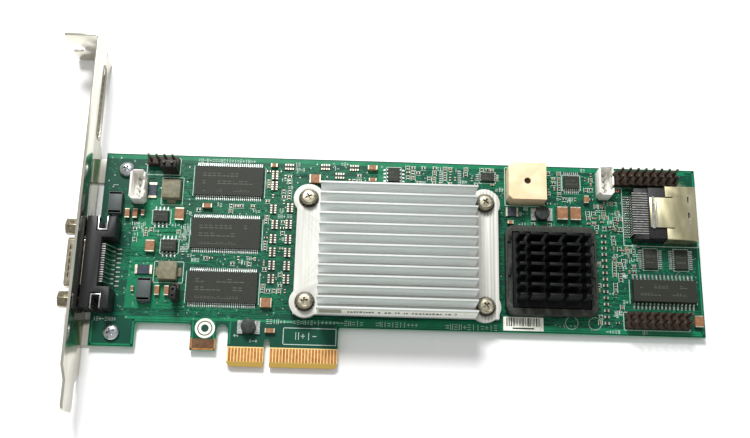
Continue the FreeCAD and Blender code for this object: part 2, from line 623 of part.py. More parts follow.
def processor_heatsink():
    body = new_body("processor_heatsink", z=f"{TOP} + sink_rise")
    slab(body, "(sink_left + sink_right) / 2", "(sink_low + sink_high) / 2",
         "sink_right - sink_left", "sink_high - sink_low", "sink_base")
    ears = new_sketch(body)
    for x in ("ear_left", "ear_right"):
        for y in ("ear_low", "ear_high"):
            ring(ears, x, y, "2 * ear_round")
    pad(body, ears, "sink_base")
    long = "(sink_right - sink_left - flange_left - flange_right)"
    fin = slab(body, f"sink_left + flange_left + {long} / 2", "sink_low + fin_thick / 2", long,
               "fin_thick", "sink_top - sink_rise")
    row_of(body, fin, "Y", "(sink_high - sink_low - fin_thick) / (fin_count - 1)", "fin_count")
    holes = new_sketch(body, "XY_Plane", "sink_base")
    for x in ("ear_left", "ear_right"):
        for y in ("ear_low", "ear_high"):
            ring(holes, x, y, "screw_hole")
    pocket(body, holes, "sink_top")
    groove = oblong(new_sketch(body, "XY_Plane", "sink_base"),
                    "sink_right - flange_right + groove_pitch", "(sink_low + sink_high) / 2",
                    "groove_wide", "sink_high - sink_low + 4 * sink_base")
    row_of(body, pocket(body, groove, "groove_deep"), "X", "groove_pitch", "groove_count")


def ear_places():
    return [(x, y) for x in ("ear_left", "ear_right") for y in ("ear_low", "ear_high")]


def heatsink_screws():
    seat = f"{TOP} + sink_rise + sink_base + washer_thick"
    group("heatsink_screws", [
        pan_screw("heatsink_screw", x, y, seat, "sink_head", "sink_head_tall", "screw_shank",
                  "washer_thick + sink_base + sink_rise - port_clear")
        for x, y in ear_places()])


def toothed_rim(sketch):
    """Draws the outer rim of a toothed washer about the origin."""
    count = int(real("washer_teeth"))
    corners = []
    for tooth in range(count):
        tip, root = f"{tooth} * 360 deg / {count}", f"({tooth} + 0.5) * 360 deg / {count}"
        for reach, turn in (("washer_across / 2", tip),
                            ("(washer_across / 2 - washer_tooth_deep)", root)):
            corners.append((f"{reach} * cos({turn})", f"{reach} * sin({turn})"))
    return outline(sketch, corners)


def heatsink_lock_washers():
    washers = []
    for x, y in ear_places():
        body = raw_body("heatsink_lock_washer", x, y, f"{TOP} + sink_rise + sink_base")
        sketch = new_sketch(body)
        toothed_rim(sketch)
        ring(sketch, "0", "0", "screw_hole")
        pad(body, sketch, "washer_thick")
        washers.append(body)
    group("heatsink_lock_washers", washers)


def heatsink_spacers():
    spacers = []
    for x, y in ear_places():
        body = raw_body("heatsink_spacer", x, y, TOP)
        sketch = six_sides(new_sketch(body), "0", "0", "spacer_across")
        pad(body, ring(sketch, "0", "0", "screw_hole"), "sink_rise")
        spacers.append(body)
    group("heatsink_spacers", spacers)


def solid_block(label, x, y, z, long, wide, tall):
    """A plain moulded block as its own piece."""
    body = new_body(label, x, y, z)
    slab(body, "0", "0", long, wide, tall)
    return body


def raid_processor():
    x, y = "(sink_left + sink_right) / 2", "(sink_low + sink_high) / 2"
    solid_block("raid_processor", x, y, TOP, "processor_wide", "processor_wide",
                "processor_tall")
    solid_block("thermal_pad", x, y, f"{TOP} + processor_tall", "thermal_pad_wide",
                "thermal_pad_wide", "sink_rise - processor_tall")


# ---------------------------------------------------------------- pin-fin heatsink

def pin_fin_heatsink():
    body = new_body("pin_fin_heatsink", "pins_x", "pins_y", f"{TOP} + controller_tall")
    slab(body, "0", "0", "pins_base", "pins_base", "pins_base_thick")
    fin = slab(body, "0", "-(pin_rows - 1) * pin_row_pitch / 2", "pin_field", "pin_thick",
               "pins_top - controller_tall")
    row_of(body, fin, "Y", "pin_row_pitch", "pin_rows")
    gap = oblong(new_sketch(body, "XY_Plane", "pins_top"),
                 "-(cross_count - 1) * cross_pitch / 2", "0", "cross_gap", "2 * pin_field")
    row_of(body, pocket(body, gap, "pins_top - pins_base_thick"), "X", "cross_pitch",
           "cross_count")


def heatsink_clip_frame():
    body = new_body("heatsink_clip_frame", "pins_x", "pins_y", f"{TOP} + clip_low")
    tall = "(clip_top - clip_low)"
    slab(body, "0", "0", "clip_wide", "clip_wide", tall)
    half = real("clip_wide / 2")
    dress(body, "Fillet", edges_where(
        body, lambda a, b: abs(abs(a.x) - half) + abs(abs(a.y) - half) < 0.01
        and abs(a.z - b.z) > 1), "clip_round")
    window = "pins_base + 2 * clip_fit"
    pocket(body, oblong(new_sketch(body, "XY_Plane", tall), "0", "0", window, window), tall)
    under = "controller_wide + 2 * clip_fit"
    pocket(body, oblong(new_sketch(body), "0", "0", under, under),
           "controller_tall + clip_fit - clip_low", back=True)
    slots = new_sketch(body, "XY_Plane", tall)
    for side in (-1, 1):
        for end in (-1, 1):
            oblong(slots, f"({side}) * (clip_wide / 2 - clip_slot_wide)",
                   f"({end}) * clip_slot_pitch / 2", "clip_slot_wide", "clip_slot_long")
    pocket(body, slots, "clip_top - controller_tall - 2 * clip_fit")


def io_controller():
    solid_block("io_controller", "pins_x", "pins_y", TOP, "controller_wide", "controller_wide",
                "controller_tall")


# ---------------------------------------------------------------- packages

def lead_rows(body, long_axis, across, span, pitch, wide, count):
    """Two facing rows of gull-wing leads, as slanting strips from body to board."""
    plane = "YZ_Plane" if long_axis == "X" else "XZ_Plane"
    first = f"-({count} - 1) * {pitch} / 2 - {wide} / 2"
    offset = first if long_axis == "X" else f"-({first})"
    for side in (-1, 1):
        near, far = f"({side}) * ({across}) / 2", f"({side}) * ({span}) / 2"
        rise = "lead_rise"
        lead = plate_of(body, [(near, rise), (far, "0"), (far, "lead_thick"),
                               (near, f"{rise} + lead_thick")],
                        wide, plane, offset, back=long_axis == "Y")
        row_of(body, lead, long_axis, pitch, count)


def memory_chips():
    for number in range(3):
        y = f"memory_y + {2 - number} * memory_pitch"
        chip = new_body(f"memory_chip_{number + 1}", "memory_x", y, f"{TOP} + package_lift")
        slab(chip, "0", "0", "memory_long", "memory_wide", "memory_tall")
        leads = new_body(f"memory_leads_{number + 1}", "memory_x", y, TOP)
        lead_rows(leads, "X", "memory_wide", "memory_span", "memory_lead_pitch",
                  "memory_lead_wide", "memory_lead_count")


def flash_chip():
    solid_block("flash_chip", "flash_x", "flash_y", f"{TOP} + package_lift", "flash_long",
                "flash_wide", "flash_tall")
    leads = new_body("flash_leads", "flash_x", "flash_y", TOP)
    lead_rows(leads, "X", "flash_wide", "flash_span", "flash_lead_pitch", "flash_lead_wide",
              "flash_lead_count")


def logic_group(name, members):
    """A group of small packages and its group of leads."""
    chips, rows = [], []
    for x, y, size, leads in members:
        chip = raw_body(name, x, y, f"{TOP} + package_lift")
        slab(chip, "0", "0", *size)
        chips.append(chip)
        row = raw_body(f"{name}_row", x, y, TOP)
        lead_rows(row, *leads)
        rows.append(row)
    group(f"{name}s", chips)
    group(f"{name}_leads", rows)


def logic_packages():
    fine, coarse = ("fine_pitch", "fine_lead_wide"), ("power_pitch", "power_lead_wide")
    buffer = (("buffer_wide", "buffer_long", "thin_tall"),
              ("Y", "buffer_wide", "buffer_span", *fine, "buffer_lead_count"))
    logic_group("bus_buffer", [("buffer_x", "buffer_y", *buffer),
                               ("buffer_x + buffer_pitch", "buffer_y", *buffer)])
    logic_group("monitor_chip", [
        ("logic_x", "logic_y", ("logic_long", "buffer_wide", "thin_tall"),
         ("X", "buffer_wide", "buffer_span", *fine, "logic_lead_count"))])
    power = (("power_long", "power_wide", "power_tall"),
             ("X", "power_wide", "power_span", *coarse, "power_lead_count"))
    logic_group("power_transistor", [
        ("power_x", "power_y", *power),
        ("power_x + power_step_x", "power_y + power_step_y", *power)])
    logic_group("driver_chip", [
        ("driver_x", "driver_y", ("power_wide", "power_long", "power_tall"),
         ("Y", "power_wide", "power_span", *coarse, "power_lead_count")),
        ("sensor_x", "sensor_y", ("buffer_wide", "sensor_long", "thin_tall"),
         ("Y", "buffer_wide", "buffer_span", *fine, "power_lead_count"))])


def buzzer():
    body = solid_block("buzzer", "buzzer_x", "buzzer_y", TOP, "buzzer_long", "buzzer_wide",
                       "buzzer_tall")
    for sign in ("-", ""):
        dress(body, "Chamfer", edges_where(
            body, upright_at("-buzzer_long / 2", f"{sign}buzzer_wide / 2")), "buzzer_chamfer")
    pocket(body, ring(new_sketch(body, "XY_Plane", "buzzer_tall"), "0", "0", "buzzer_hole"),
           "buzzer_tall / 3")


# ---------------------------------------------------------------- headers

def cable_header(name, x, y):
    body = new_body(f"{name}_cable_header", x, y, TOP)
    slab(body, "0", "0", "cable_wide", "cable_long", "cable_tall")
    wide, long = real("cable_wide / 2"), real("cable_long / 2")
    dress(body, "Chamfer", edges_where(
        body, lambda a, b: abs(abs(a.x) - wide) + abs(abs(a.y) - long) < 0.01
        and abs(a.z - b.z) > 1), "cable_chamfer")
    pocket(body, oblong(new_sketch(body, "XY_Plane", "cable_tall"), "0", "0",
                        "cable_wide - 2 * cable_wall", "cable_long - 2 * cable_wall"),
           "cable_tall - cable_floor")
    slots = new_sketch(body, "XY_Plane", "cable_tall")
    for side in (-1, 1):
        oblong(slots, "cable_wide / 2", f"({side}) * cable_pitch", "2 * cable_wall + pin_clear",
               "cable_slot")
    pocket(body, slots, "cable_tall - 2 * cable_floor")
    first = "-(cable_count - 1) * cable_pitch / 2"
    hole = oblong(new_sketch(body, "XY_Plane", "cable_floor"), "0", first,
                  "cable_pin + 2 * pin_clear", "cable_pin + 2 * pin_clear")
    row_of(body, pocket(body, hole, "2 * cable_floor"), "Y", "cable_pitch", "cable_count")
    pins = new_body(f"{name}_cable_header_pins", x, y, TOP)
    pin = slab(pins, "0", first, "cable_pin", "cable_pin", "cable_pin_top + pin_low",
               "-pin_low")
    row_of(pins, pin, "Y", "cable_pitch", "cable_count")


def header_block(body, x, y, columns, rows, tall, step="pitch"):
    """Adds a header's moulded block about its pins, from the low-X low-Y pin."""
    slab(body, f"{x} + ({columns} - 1) * {step} / 2", f"{y} + ({rows} - 1) * {step} / 2",
         f"{columns} * {step}", f"{rows} * {step}", tall)


def block_holes(body, x, y, columns, rows, tall, step="pitch", wide="pin_wide"):
    """Cuts the pins' holes through a moulded block."""
    hole = f"{wide} + 2 * pin_clear"
    cut = pocket(body, oblong(new_sketch(body, "XY_Plane", tall), x, y, hole, hole),
                 f"2 * {tall}")
    repeat(body, cut, columns, rows, step)


def header_pins(body, x, y, columns, rows, top, step="pitch", wide="pin_wide", low="pin_below"):
    """Adds the square pins, through the board and up to their tips."""
    deep = f"(board_thick + {low})"
    pin = slab(body, x, y, wide, wide, f"{top} + {deep}", f"-{deep}")
    repeat(body, pin, columns, rows, step)


def repeat(body, feature, columns, rows, step):
    if columns == "1":
        return row_of(body, feature, "Y", step, rows)
    if rows == "1":
        return row_of(body, feature, "X", step, columns)
    return row_of(body, feature, "X", step, columns, "Y", step, rows)


def long_header(name, x, y):
    spot = ("-(long_count - 1) * pitch / 2", "-pitch / 2", "long_count", "2")
    body = new_body(f"{name}_pin_header", x, y, TOP)
    header_block(body, *spot, "block_tall")
    block_holes(body, *spot, "block_tall")
    pins = new_body(f"{name}_pin_header_pins", x, y, TOP)
    header_pins(pins, *spot, "pin_top")


def mode_header():
    back = ("-1.5 * pitch", "0", "4", "1")
    front = ("0.5 * pitch", "-pitch", "2", "1")
    body = new_body("left_pin_header", "mode_header_x", "mode_header_y", TOP)
    pins = new_body("left_pin_header_pins", "mode_header_x", "mode_header_y", TOP)
    for spot in (back, front):
        header_block(body, *spot, "block_tall")
        block_holes(body, *spot, "block_tall")
        header_pins(pins, *spot, "pin_top", low="pin_short")


def small_header():
    spot = ("0", "-jumper_pitch", "1", "jumper_count")
    body = new_body("three_pin_header", "jumper_x", "jumper_y", TOP)
    header_block(body, *spot, "jumper_block_tall", "jumper_pitch")
    block_holes(body, *spot, "jumper_block_tall", "jumper_pitch", "cable_pin")
    pins = new_body("three_pin_header_pins", "jumper_x", "jumper_y", TOP)
    header_pins(pins, *spot, "jumper_pin_top", "jumper_pitch", "cable_pin", "pin_short")


def jumper_caps():
    wide = raw_body("jumper_cap", "mode_header_x", "mode_header_y", f"{TOP} + block_tall")
    spot = ("0.5 * pitch", "-pitch", "2", "1")
    header_block(wide, *spot, "jumper_cap_tall")
    block_holes(wide, *spot, "jumper_cap_tall")
    small = raw_body("small_jumper_cap", "jumper_x", "jumper_y",
                     f"{TOP} + jumper_block_tall")
    spot = ("0", "-jumper_pitch", "1", "2")
    header_block(small, *spot, "jumper_cap_tall", "jumper_pitch")
    block_holes(small, *spot, "jumper_cap_tall", "jumper_pitch", "cable_pin")
    group("jumper_caps", [wide, small])


# ---------------------------------------------------------------- internal port

def internal_port_cage():
    body = new_body("internal_port_cage", "0", "cage_y", TOP)
    half = "cage_wide / 2"
    long = "(cage_right - cage_left)"
    plate_of(body, [
        (f"-{half}", "0"), (f"-{half}", "cage_tall"), (half, "cage_tall"), (half, "0"),
        (f"{half} - cage_sheet", "0"), (f"{half} - cage_sheet", "cage_tall - cage_sheet"),
        (f"-{half} + cage_sheet", "cage_tall - cage_sheet"), (f"-{half} + cage_sheet", "0"),
    ], long, "YZ_Plane", "cage_left")
    edge = real(half)
    tall = real("cage_tall")
    dress(body, "Fillet", edges_where(
        body, lambda a, b: abs(abs(a.y) - edge) + abs(a.z - tall) < 0.01
        and abs(a.x - b.x) > 1), "cage_sheet + pin_clear")
    slab(body, "(leaf_left + cage_left) / 2", "0", "cage_left - leaf_left", "leaf_wide",
         "cage_sheet", "cage_tall - cage_sheet")
    cuts = new_sketch(body, "XY_Plane", "cage_tall")
    for side in (-1, 1):
        oblong(cuts, "cage_left", f"({side}) * (leaf_wide + leaf_slit) / 2",
               "2 * leaf_slit_deep", "leaf_slit")
        oblong(cuts, "cage_right - leaf_slit_deep", f"({side}) * cage_slot_pitch / 2 + cage_slot_long",
               "cage_slot_wide", "cage_slot_long")
    pocket(body, cuts, "2 * cage_sheet")


def internal_port_housing():
    body = new_body("internal_port_housing", "0", "cage_y", TOP)
    wide = "(cage_wide - 2 * cage_sheet - port_clear)"
    long = "(cage_right - core_left)"
    slab(body, f"core_left + {long} / 2", "0", long, wide, "core_tall")
    slab(body, "(shelf_left + core_left) / 2", "0", "core_left - shelf_left", wide, "shelf_tall")
    mouth = oblong(new_sketch(body, "YZ_Plane", "cage_right"), "0", "blade_rise + blade_thick / 2",
                   "blade_wide + 2 * blade_thick", "core_tall - 2 * blade_thick")
    pocket(body, mouth, "cage_right - cage_left")
    pad(body, oblong(new_sketch(body, "YZ_Plane", "cage_left"), "0",
                     "blade_rise + blade_thick / 2", "blade_wide", "blade_thick"),
        "blade_right - cage_left")


def internal_port_contacts():
    body = new_body("internal_port_contacts", "0", "cage_y", TOP)
    outer = "(shelf_left - bay_lead_gap)"
    inner = f"({outer} + bay_lead_thick)"
    foot = f"({outer} - bay_lead_foot)"
    lead = plate_of(body, [
        ("core_left", "shelf_tall"), ("core_left", "shelf_tall + bay_lead_thick"),
        (outer, "shelf_tall + bay_lead_thick"), (outer, "bay_lead_thick"),
        (foot, "bay_lead_thick"), (foot, "0"), (inner, "0"), (inner, "shelf_tall"),
    ], "bay_lead_wide", "XZ_Plane", "(bay_lead_count - 1) * bay_lead_pitch / 2 + bay_lead_wide / 2",
        back=True)
    row_of(body, lead, "Y", "bay_lead_pitch", "bay_lead_count")


# ---------------------------------------------------------------- power parts and chips

# Middles in plan, then length and width, and the way the length lies.
CERAMICS = [
    (93.9, 52.4, 4.5, 3.4, "Y"), (98.2, 52.4, 4.5, 3.4, "Y"), (-30.2, 48.4, 4.2, 2.9, "Y"),
    (-38.8, 37.5, 3.9, 2.9, "Y"), (13.0, 61.7, 3.7, 2.9, "X"), (-0.9, 20.0, 3.7, 3.0, "X"),
    (136.3, 17.8, 3.7, 2.7, "Y"), (101.9, 57.4, 2.6, 1.6, "Y"), (-21.5, 51.5, 3.1, 1.5, "X"),
    (-47.0, 48.2, 3.2, 1.5, "Y"), (-44.5, 48.2, 3.2, 1.5, "Y"), (-42.1, 48.6, 2.0, 1.1, "Y"),
    (-35.4, 23.1, 3.2, 1.5, "Y"), (-32.4, 23.1, 3.2, 1.5, "Y"), (-43.3, 23.5, 1.8, 0.9, "Y"),
    (31.7, 66.2, 3.2, 1.5, "X"), (31.8, 62.1, 2.6, 1.2, "X"), (76.9, 49.0, 2.0, 1.2, "X"),
    (-0.6, 66.1, 2.2, 1.2, "X"), (0.8, 11.2, 3.2, 1.4, "X"),
]
SHUNTS = [(-39.6, 56.4, 5.2, 2.5, "Y"), (-40.3, 29.9, 5.4, 2.9, "X"), (77.5, 52.6, 4.0, 2.9, "X")]
COILS = [(-33.3, 56.4, "Y"), (-32.4, 29.3, "X")]
DRUMS = [(87.2, 52.0), (-5.9, 12.2)]
TANTALUMS = [(-50.9, 51.2), (-39.3, 23.0)]
ARRAYS = [
    (4.4, 65.9, "X"), (16.2, 66.2, "X"), (21.0, 63.3, "X"), (25.7, 66.2, "X"),
    (-0.2, 62.9, "Y"), (-0.2, 59.2, "Y"), (-0.2, 51.2, "Y"), (0.5, 46.0, "Y"),
    (5.2, 51.8, "Y"), (5.0, 46.2, "Y"), (0.2, 41.2, "Y"), (0.2, 36.8, "Y"), (0.2, 32.4, "Y"),
    (0.2, 28.0, "Y"), (5.0, 41.2, "Y"), (5.0, 36.8, "Y"), (5.0, 32.4, "Y"), (5.0, 28.0, "Y"),
]


def turned(x, y, along, reach):
    """A spot that lies a reach along the part's length from its middle."""
    return (f"{x} + {reach}", str(y)) if along == "X" else (str(x), f"{y} + {reach}")


def flat_box(x, y, along, long, wide, tall, z=TOP):
    """A box about its middle whose length lies along X or Y."""
    if along == "X":
        return block(x, y, z, long, wide, tall)
    return block(x, y, z, wide, long, tall)


def ceramic_capacitors():
    bodies, ends = [], []
    for x, y, long, wide, along in CERAMICS:
        tall = f"min(ceramic_tall; {wide})"
        bodies.append(flat_box(x, y, along, f"{long} - 2 * ceramic_end", wide, tall))
        for side in (-1, 1):
            reach = f"({side}) * ({long} - ceramic_end) / 2"
            ends.append(flat_box(*turned(x, y, along, reach), along, "ceramic_end", wide, tall))
    group("ceramic_capacitors", bodies)
    group("ceramic_terminals", ends)


def sense_resistors():
    group("sense_resistors", [flat_box(x, y, along, long, wide, "shunt_tall")
                              for x, y, long, wide, along in SHUNTS])


def chip_resistors():
    chips = [flat_box(x, y, along, "array_long", "array_wide", "array_tall")
             for x, y, along in ARRAYS]
    column = raw_body("chip_column", "chip_column_x", "chip_column_y", TOP)
    row_of(column, slab(column, "0", "0", "chip_long", "chip_wide", "array_tall"), "Y",
           "chip_pitch", "chip_count")
    group("chip_resistors", chips + [column])


def power_inductors():
    coils = []
    for x, y, along in COILS:
        body = raw_body("power_inductor", str(x), str(y), TOP)
        slab(body, "0", "0", "coil_wide", "coil_long" if along == "Y" else "coil_wide",
             "coil_tall")
        feet = ("coil_wide + 2 * coil_foot", "coil_wide / 2")
        slab(body, "0", "0", *(feet if along == "X" else feet[::-1]), "coil_end")
        coils.append(body)
    group("power_inductors", coils)


def round_inductors():
    drums = []
    for x, y in DRUMS:
        body = raw_body("round_inductor", str(x), str(y), TOP)
        slab(body, "0", "0", "drum_base_long", "drum_base_wide", "drum_base_tall")
        pad(body, ring(new_sketch(body), "0", "0", "drum_across"), "drum_tall")
        drums.append(body)
    group("round_inductors", drums)


def tantalum_capacitors():
    blocks = []
    for x, y in TANTALUMS:
        body = raw_body("tantalum_capacitor", str(x), str(y), TOP)
        slab(body, "0", "0", "tantalum_wide", "tantalum_long", "tantalum_tall")
        slab(body, "0", "0", "tantalum_wide / 2", "tantalum_long + 2 * tantalum_end",
             "tantalum_tall / 2")
        blocks.append(body)
    group("tantalum_capacitors", blocks)


def labels():
    sticker = raw_body("round_sticker", "sticker_x", "sticker_y", TOP)
    pad(sticker, ring(new_sketch(sticker), "0", "0", "sticker_across"), "paper_thick")
    tag = block("tag_x", "tag_y", TOP, "tag_long", "tag_wide", "paper_thick")
    front = block("(sink_left + sink_right) / 2", "sink_low - paper_thick / 2",
                  f"{TOP} + front_label_rise", "front_label_long", "paper_thick",
                  "front_label_tall")
    group("labels", [sticker, tag, front])


def finish():
    """Checks every object and writes one file for each piece."""
    doc.recompute()
    os.makedirs("parts", exist_ok=True)
    for thing in doc.Objects:
        if "Invalid" in thing.State or "Error" in thing.State:
            raise RuntimeError(f"{thing.Label}: {thing.State}")
    for node in nodes:
        shape = node.Shape
        if shape.isNull() or not shape.isValid():
            raise RuntimeError(f"{node.Label}: bad shape")
        shape.exportStep(f"parts/{node.Label}.step")
        print(node.Label, len(shape.Solids), "solids")


for build in (
        circuit_board, gold_fingers, mounting_bracket, bracket_screws, external_port_shell,
        external_port_housing, external_port_tongue, external_port_contacts,
        external_port_jack_sockets, external_port_clips, processor_heatsink, heatsink_screws,
        heatsink_lock_washers, heatsink_spacers, raid_processor, pin_fin_heatsink,
        heatsink_clip_frame, io_controller, memory_chips, flash_chip, logic_packages, buzzer,
        mode_header, small_header, jumper_caps, internal_port_cage, internal_port_housing,
        internal_port_contacts, ceramic_capacitors, sense_resistors, chip_resistors,
        power_inductors, round_inductors, tantalum_capacitors, labels):
    build()
cable_header("left", "cable_left_x", "cable_left_y")
cable_header("right", "cable_right_x", "cable_right_y")
long_header("top", "top_header_x", "top_header_y")
long_header("bottom", "low_header_x", "low_header_y")
finish()
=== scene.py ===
import json
import math
import random

import bmesh
import bpy
from mathutils import Matrix, Vector


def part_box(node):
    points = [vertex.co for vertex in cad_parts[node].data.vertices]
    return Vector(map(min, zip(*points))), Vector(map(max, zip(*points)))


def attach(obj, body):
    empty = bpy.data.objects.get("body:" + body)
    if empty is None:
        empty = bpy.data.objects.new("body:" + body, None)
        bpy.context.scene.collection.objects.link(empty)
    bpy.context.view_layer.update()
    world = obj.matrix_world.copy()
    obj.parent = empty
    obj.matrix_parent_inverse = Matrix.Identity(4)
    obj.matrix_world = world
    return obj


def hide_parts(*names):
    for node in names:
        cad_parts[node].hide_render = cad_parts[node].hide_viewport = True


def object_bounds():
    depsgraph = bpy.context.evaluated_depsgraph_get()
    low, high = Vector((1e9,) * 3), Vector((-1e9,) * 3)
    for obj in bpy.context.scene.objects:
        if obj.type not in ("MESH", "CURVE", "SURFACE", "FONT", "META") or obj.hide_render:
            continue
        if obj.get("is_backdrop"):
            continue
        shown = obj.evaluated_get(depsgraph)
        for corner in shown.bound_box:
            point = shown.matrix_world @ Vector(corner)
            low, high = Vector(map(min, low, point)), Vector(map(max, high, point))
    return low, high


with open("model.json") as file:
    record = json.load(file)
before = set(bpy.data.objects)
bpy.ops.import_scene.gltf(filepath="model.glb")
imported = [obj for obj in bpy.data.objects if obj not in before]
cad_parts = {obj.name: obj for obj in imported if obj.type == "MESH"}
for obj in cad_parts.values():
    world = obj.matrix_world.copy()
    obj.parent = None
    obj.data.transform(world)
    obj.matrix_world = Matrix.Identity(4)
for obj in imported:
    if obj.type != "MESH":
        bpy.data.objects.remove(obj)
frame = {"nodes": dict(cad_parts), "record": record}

bl_info = {
    "name": "Raid controller card",
    "version": (1, 0, 0),
    "blender": (4, 5, 0),
    "location": "3D View > Sidebar > Card",
    "description": "Finishes the packed raid controller card and sets its stage",
    "category": "Object",
}

MM = 0.001
NODES = frame["nodes"]
BOARD_LOW, BOARD_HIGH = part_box("circuit_board")
TOP = BOARD_HIGH.z

# A hair's step between flat layers, and the height of the board's print.
FLAT = 0.02 * MM
PRINT_HEIGHT = TOP + 2 * FLAT


def srgb(red, green, blue):
    """A colour of 0 to 255 a channel, as light."""
    return tuple(((c / 255 + 0.055) / 1.055) ** 2.4 if c > 10 else c / 255 / 12.92
                 for c in (red, green, blue))


# ---------------------------------------------------------------- settings

class BoardLook(bpy.types.PropertyGroup):
    """Colours and printed sizes of the circuit board."""
    deep_green: bpy.props.FloatVectorProperty(
        name="Deep green", description="Solder mask over bare laminate", subtype="COLOR",
        default=srgb(8, 74, 56))
    copper_green: bpy.props.FloatVectorProperty(
        name="Copper green", description="Solder mask over copper", subtype="COLOR",
        default=srgb(14, 124, 84))
    edge_green: bpy.props.FloatVectorProperty(
        name="Edge green", description="Cut edge of the laminate", subtype="COLOR",
        default=srgb(104, 186, 138))
    print_wide: bpy.props.FloatProperty(
        name="Print width", description="Width of a printed line", unit="LENGTH",
        default=0.2 * MM)
    via_across: bpy.props.FloatProperty(
        name="Via width", description="Outside of a plated hole's ring", unit="LENGTH",
        default=0.6 * MM)
    seed: bpy.props.IntProperty(
        name="Seed", description="Fixes where the small tracks and parts fall", default=7)


class LeadLook(bpy.types.PropertyGroup):
    """Shape of the soldered leads."""
    shoulder: bpy.props.FloatProperty(
        name="Shoulder", description="Flat share of a lead beside its package",
        subtype="FACTOR", default=0.2)
    foot: bpy.props.FloatProperty(
        name="Foot", description="Share of a lead that lies on its pad", subtype="FACTOR",
        default=0.45)
    thick: bpy.props.FloatProperty(
        name="Thickness", description="Thickness of a lead", unit="LENGTH", default=0.15 * MM)


class StageLook(bpy.types.PropertyGroup):
    """Camera and light."""
    azimuth: bpy.props.FloatProperty(
        name="Azimuth", description="Camera's turn round the card", subtype="ANGLE",
        default=math.radians(-3.648))
    elevation: bpy.props.FloatProperty(
        name="Elevation", description="Camera's height angle", subtype="ANGLE",
        default=math.radians(73.136))
    roll: bpy.props.FloatProperty(
        name="Roll", description="Camera's tilt about its own line of sight", subtype="ANGLE",
        default=math.radians(5.175))
    distance: bpy.props.FloatProperty(
        name="Distance", description="From the camera to its aim", unit="LENGTH",
        default=0.32821)
    aim: bpy.props.FloatVectorProperty(
        name="Aim", description="Where the camera looks", subtype="TRANSLATION",
        default=(0.032883, 0.048970, TOP))
    lens: bpy.props.FloatProperty(
        name="Lens", description="Focal length in millimetres", default=48.476)
    key_power: bpy.props.FloatProperty(
        name="Key light", description="Power of the large soft light, in watts", default=10.6)
    fill: bpy.props.FloatProperty(
        name="Fill light", description="Strength of the surrounding light", default=0.54)


# ---------------------------------------------------------------- finishes

def add(tree, kind, inputs=(), **settings):
    """Adds a node whose inputs, by name or number, take a value or another node's output."""
    node = tree.nodes.new(kind)
    for name, value in settings.items():
        setattr(node, name, value)
    for key, value in dict(inputs).items():
        if isinstance(value, bpy.types.NodeSocket):
            tree.links.new(value, node.inputs[key])
        else:
            node.inputs[key].default_value = value
    return node


def shader_of(material):
    """A material's main shader."""
    return material.node_tree.nodes["Principled BSDF"]


def drive_input(material, name, output):
    """Links a node's output to an input of the material's shader."""
    material.node_tree.links.new(output, shader_of(material).inputs[name])


def finish(name, colour, roughness, metallic=0.0, shine=0.5):
    """A material whose plain values are on its shader's own sockets."""
    material = bpy.data.materials.new(name)
    material.use_nodes = True
    inputs = shader_of(material).inputs
    inputs["Base Color"].default_value = (*colour, 1)
    inputs["Roughness"].default_value = roughness
    inputs["Metallic"].default_value = metallic
    inputs["Specular IOR Level"].default_value = shine
    return material


def object_place(tree):
    """The output that gives the object's own coordinates."""
    return add(tree, "ShaderNodeTexCoord").outputs["Object"]


def soft_noise(material, scale, stretch=(1, 1, 1), detail=3.0):
    """Noise on the object's own coordinates, with its grain stretched along the axes."""
    tree = material.node_tree
    mapping = add(tree, "ShaderNodeMapping", {"Vector": object_place(tree), "Scale": stretch})
    noise = add(tree, "ShaderNodeTexNoise", {
        "Vector": mapping.outputs["Vector"], "Scale": scale, "Detail": detail})
    return noise.outputs["Fac"]


def shade(material, low, high, scale, stretch=(1, 1, 1), near=0.35, far=0.65):
    """Varies the colour between two tones in soft patches."""
    ramp = add(material.node_tree, "ShaderNodeValToRGB", {
        "Fac": soft_noise(material, scale, stretch)})
    for stop, position, tone in zip(ramp.color_ramp.elements, (near, far), (low, high)):
        stop.position = position
        stop.color = (*tone, 1)
    drive_input(material, "Base Color", ramp.outputs["Color"])
    return ramp.outputs["Color"]


def grain(material, scale, strength, stretch=(1, 1, 1), distance=0.02 * MM):
    """A fine relief on the surface."""
    bump = add(material.node_tree, "ShaderNodeBump", {
        "Height": soft_noise(material, scale, stretch, 4.0), "Strength": strength,
        "Distance": distance})
    drive_input(material, "Normal", bump.outputs["Normal"])


def polish(material, low, high, scale, stretch=(1, 1, 1)):
    """Varies the roughness, as handling and tooling leave it."""
    span = add(material.node_tree, "ShaderNodeMapRange", {
        "Value": soft_noise(material, scale, stretch), "From Min": 0.3, "From Max": 0.7,
        "To Min": low, "To Max": high})
    drive_input(material, "Roughness", span.outputs["Result"])


def tooled(material, roughness, scale, stretch, relief):
    """The roughness and the relief that working leaves on a metal."""
    polish(material, roughness * 0.8, roughness * 1.25, scale * 1.7, stretch)
    grain(material, scale * 3, relief, stretch, 0.01 * MM)


def metal(name, low, high, roughness, scale=900.0, stretch=(1, 1, 1), relief=0.1):
    """A plated or machined metal."""
    made = finish(name, high, roughness, 1.0)
    shade(made, low, high, scale, stretch)
    tooled(made, roughness, scale, stretch, relief)
    return made


def moulded(name, low, high, roughness, scale=2500.0, relief=0.25, shine=0.25):
    """A moulded plastic or fired surface with a fine grain."""
    made = finish(name, high, roughness, shine=shine)
    shade(made, low, high, scale)
    grain(made, scale * 2, relief)
    return made


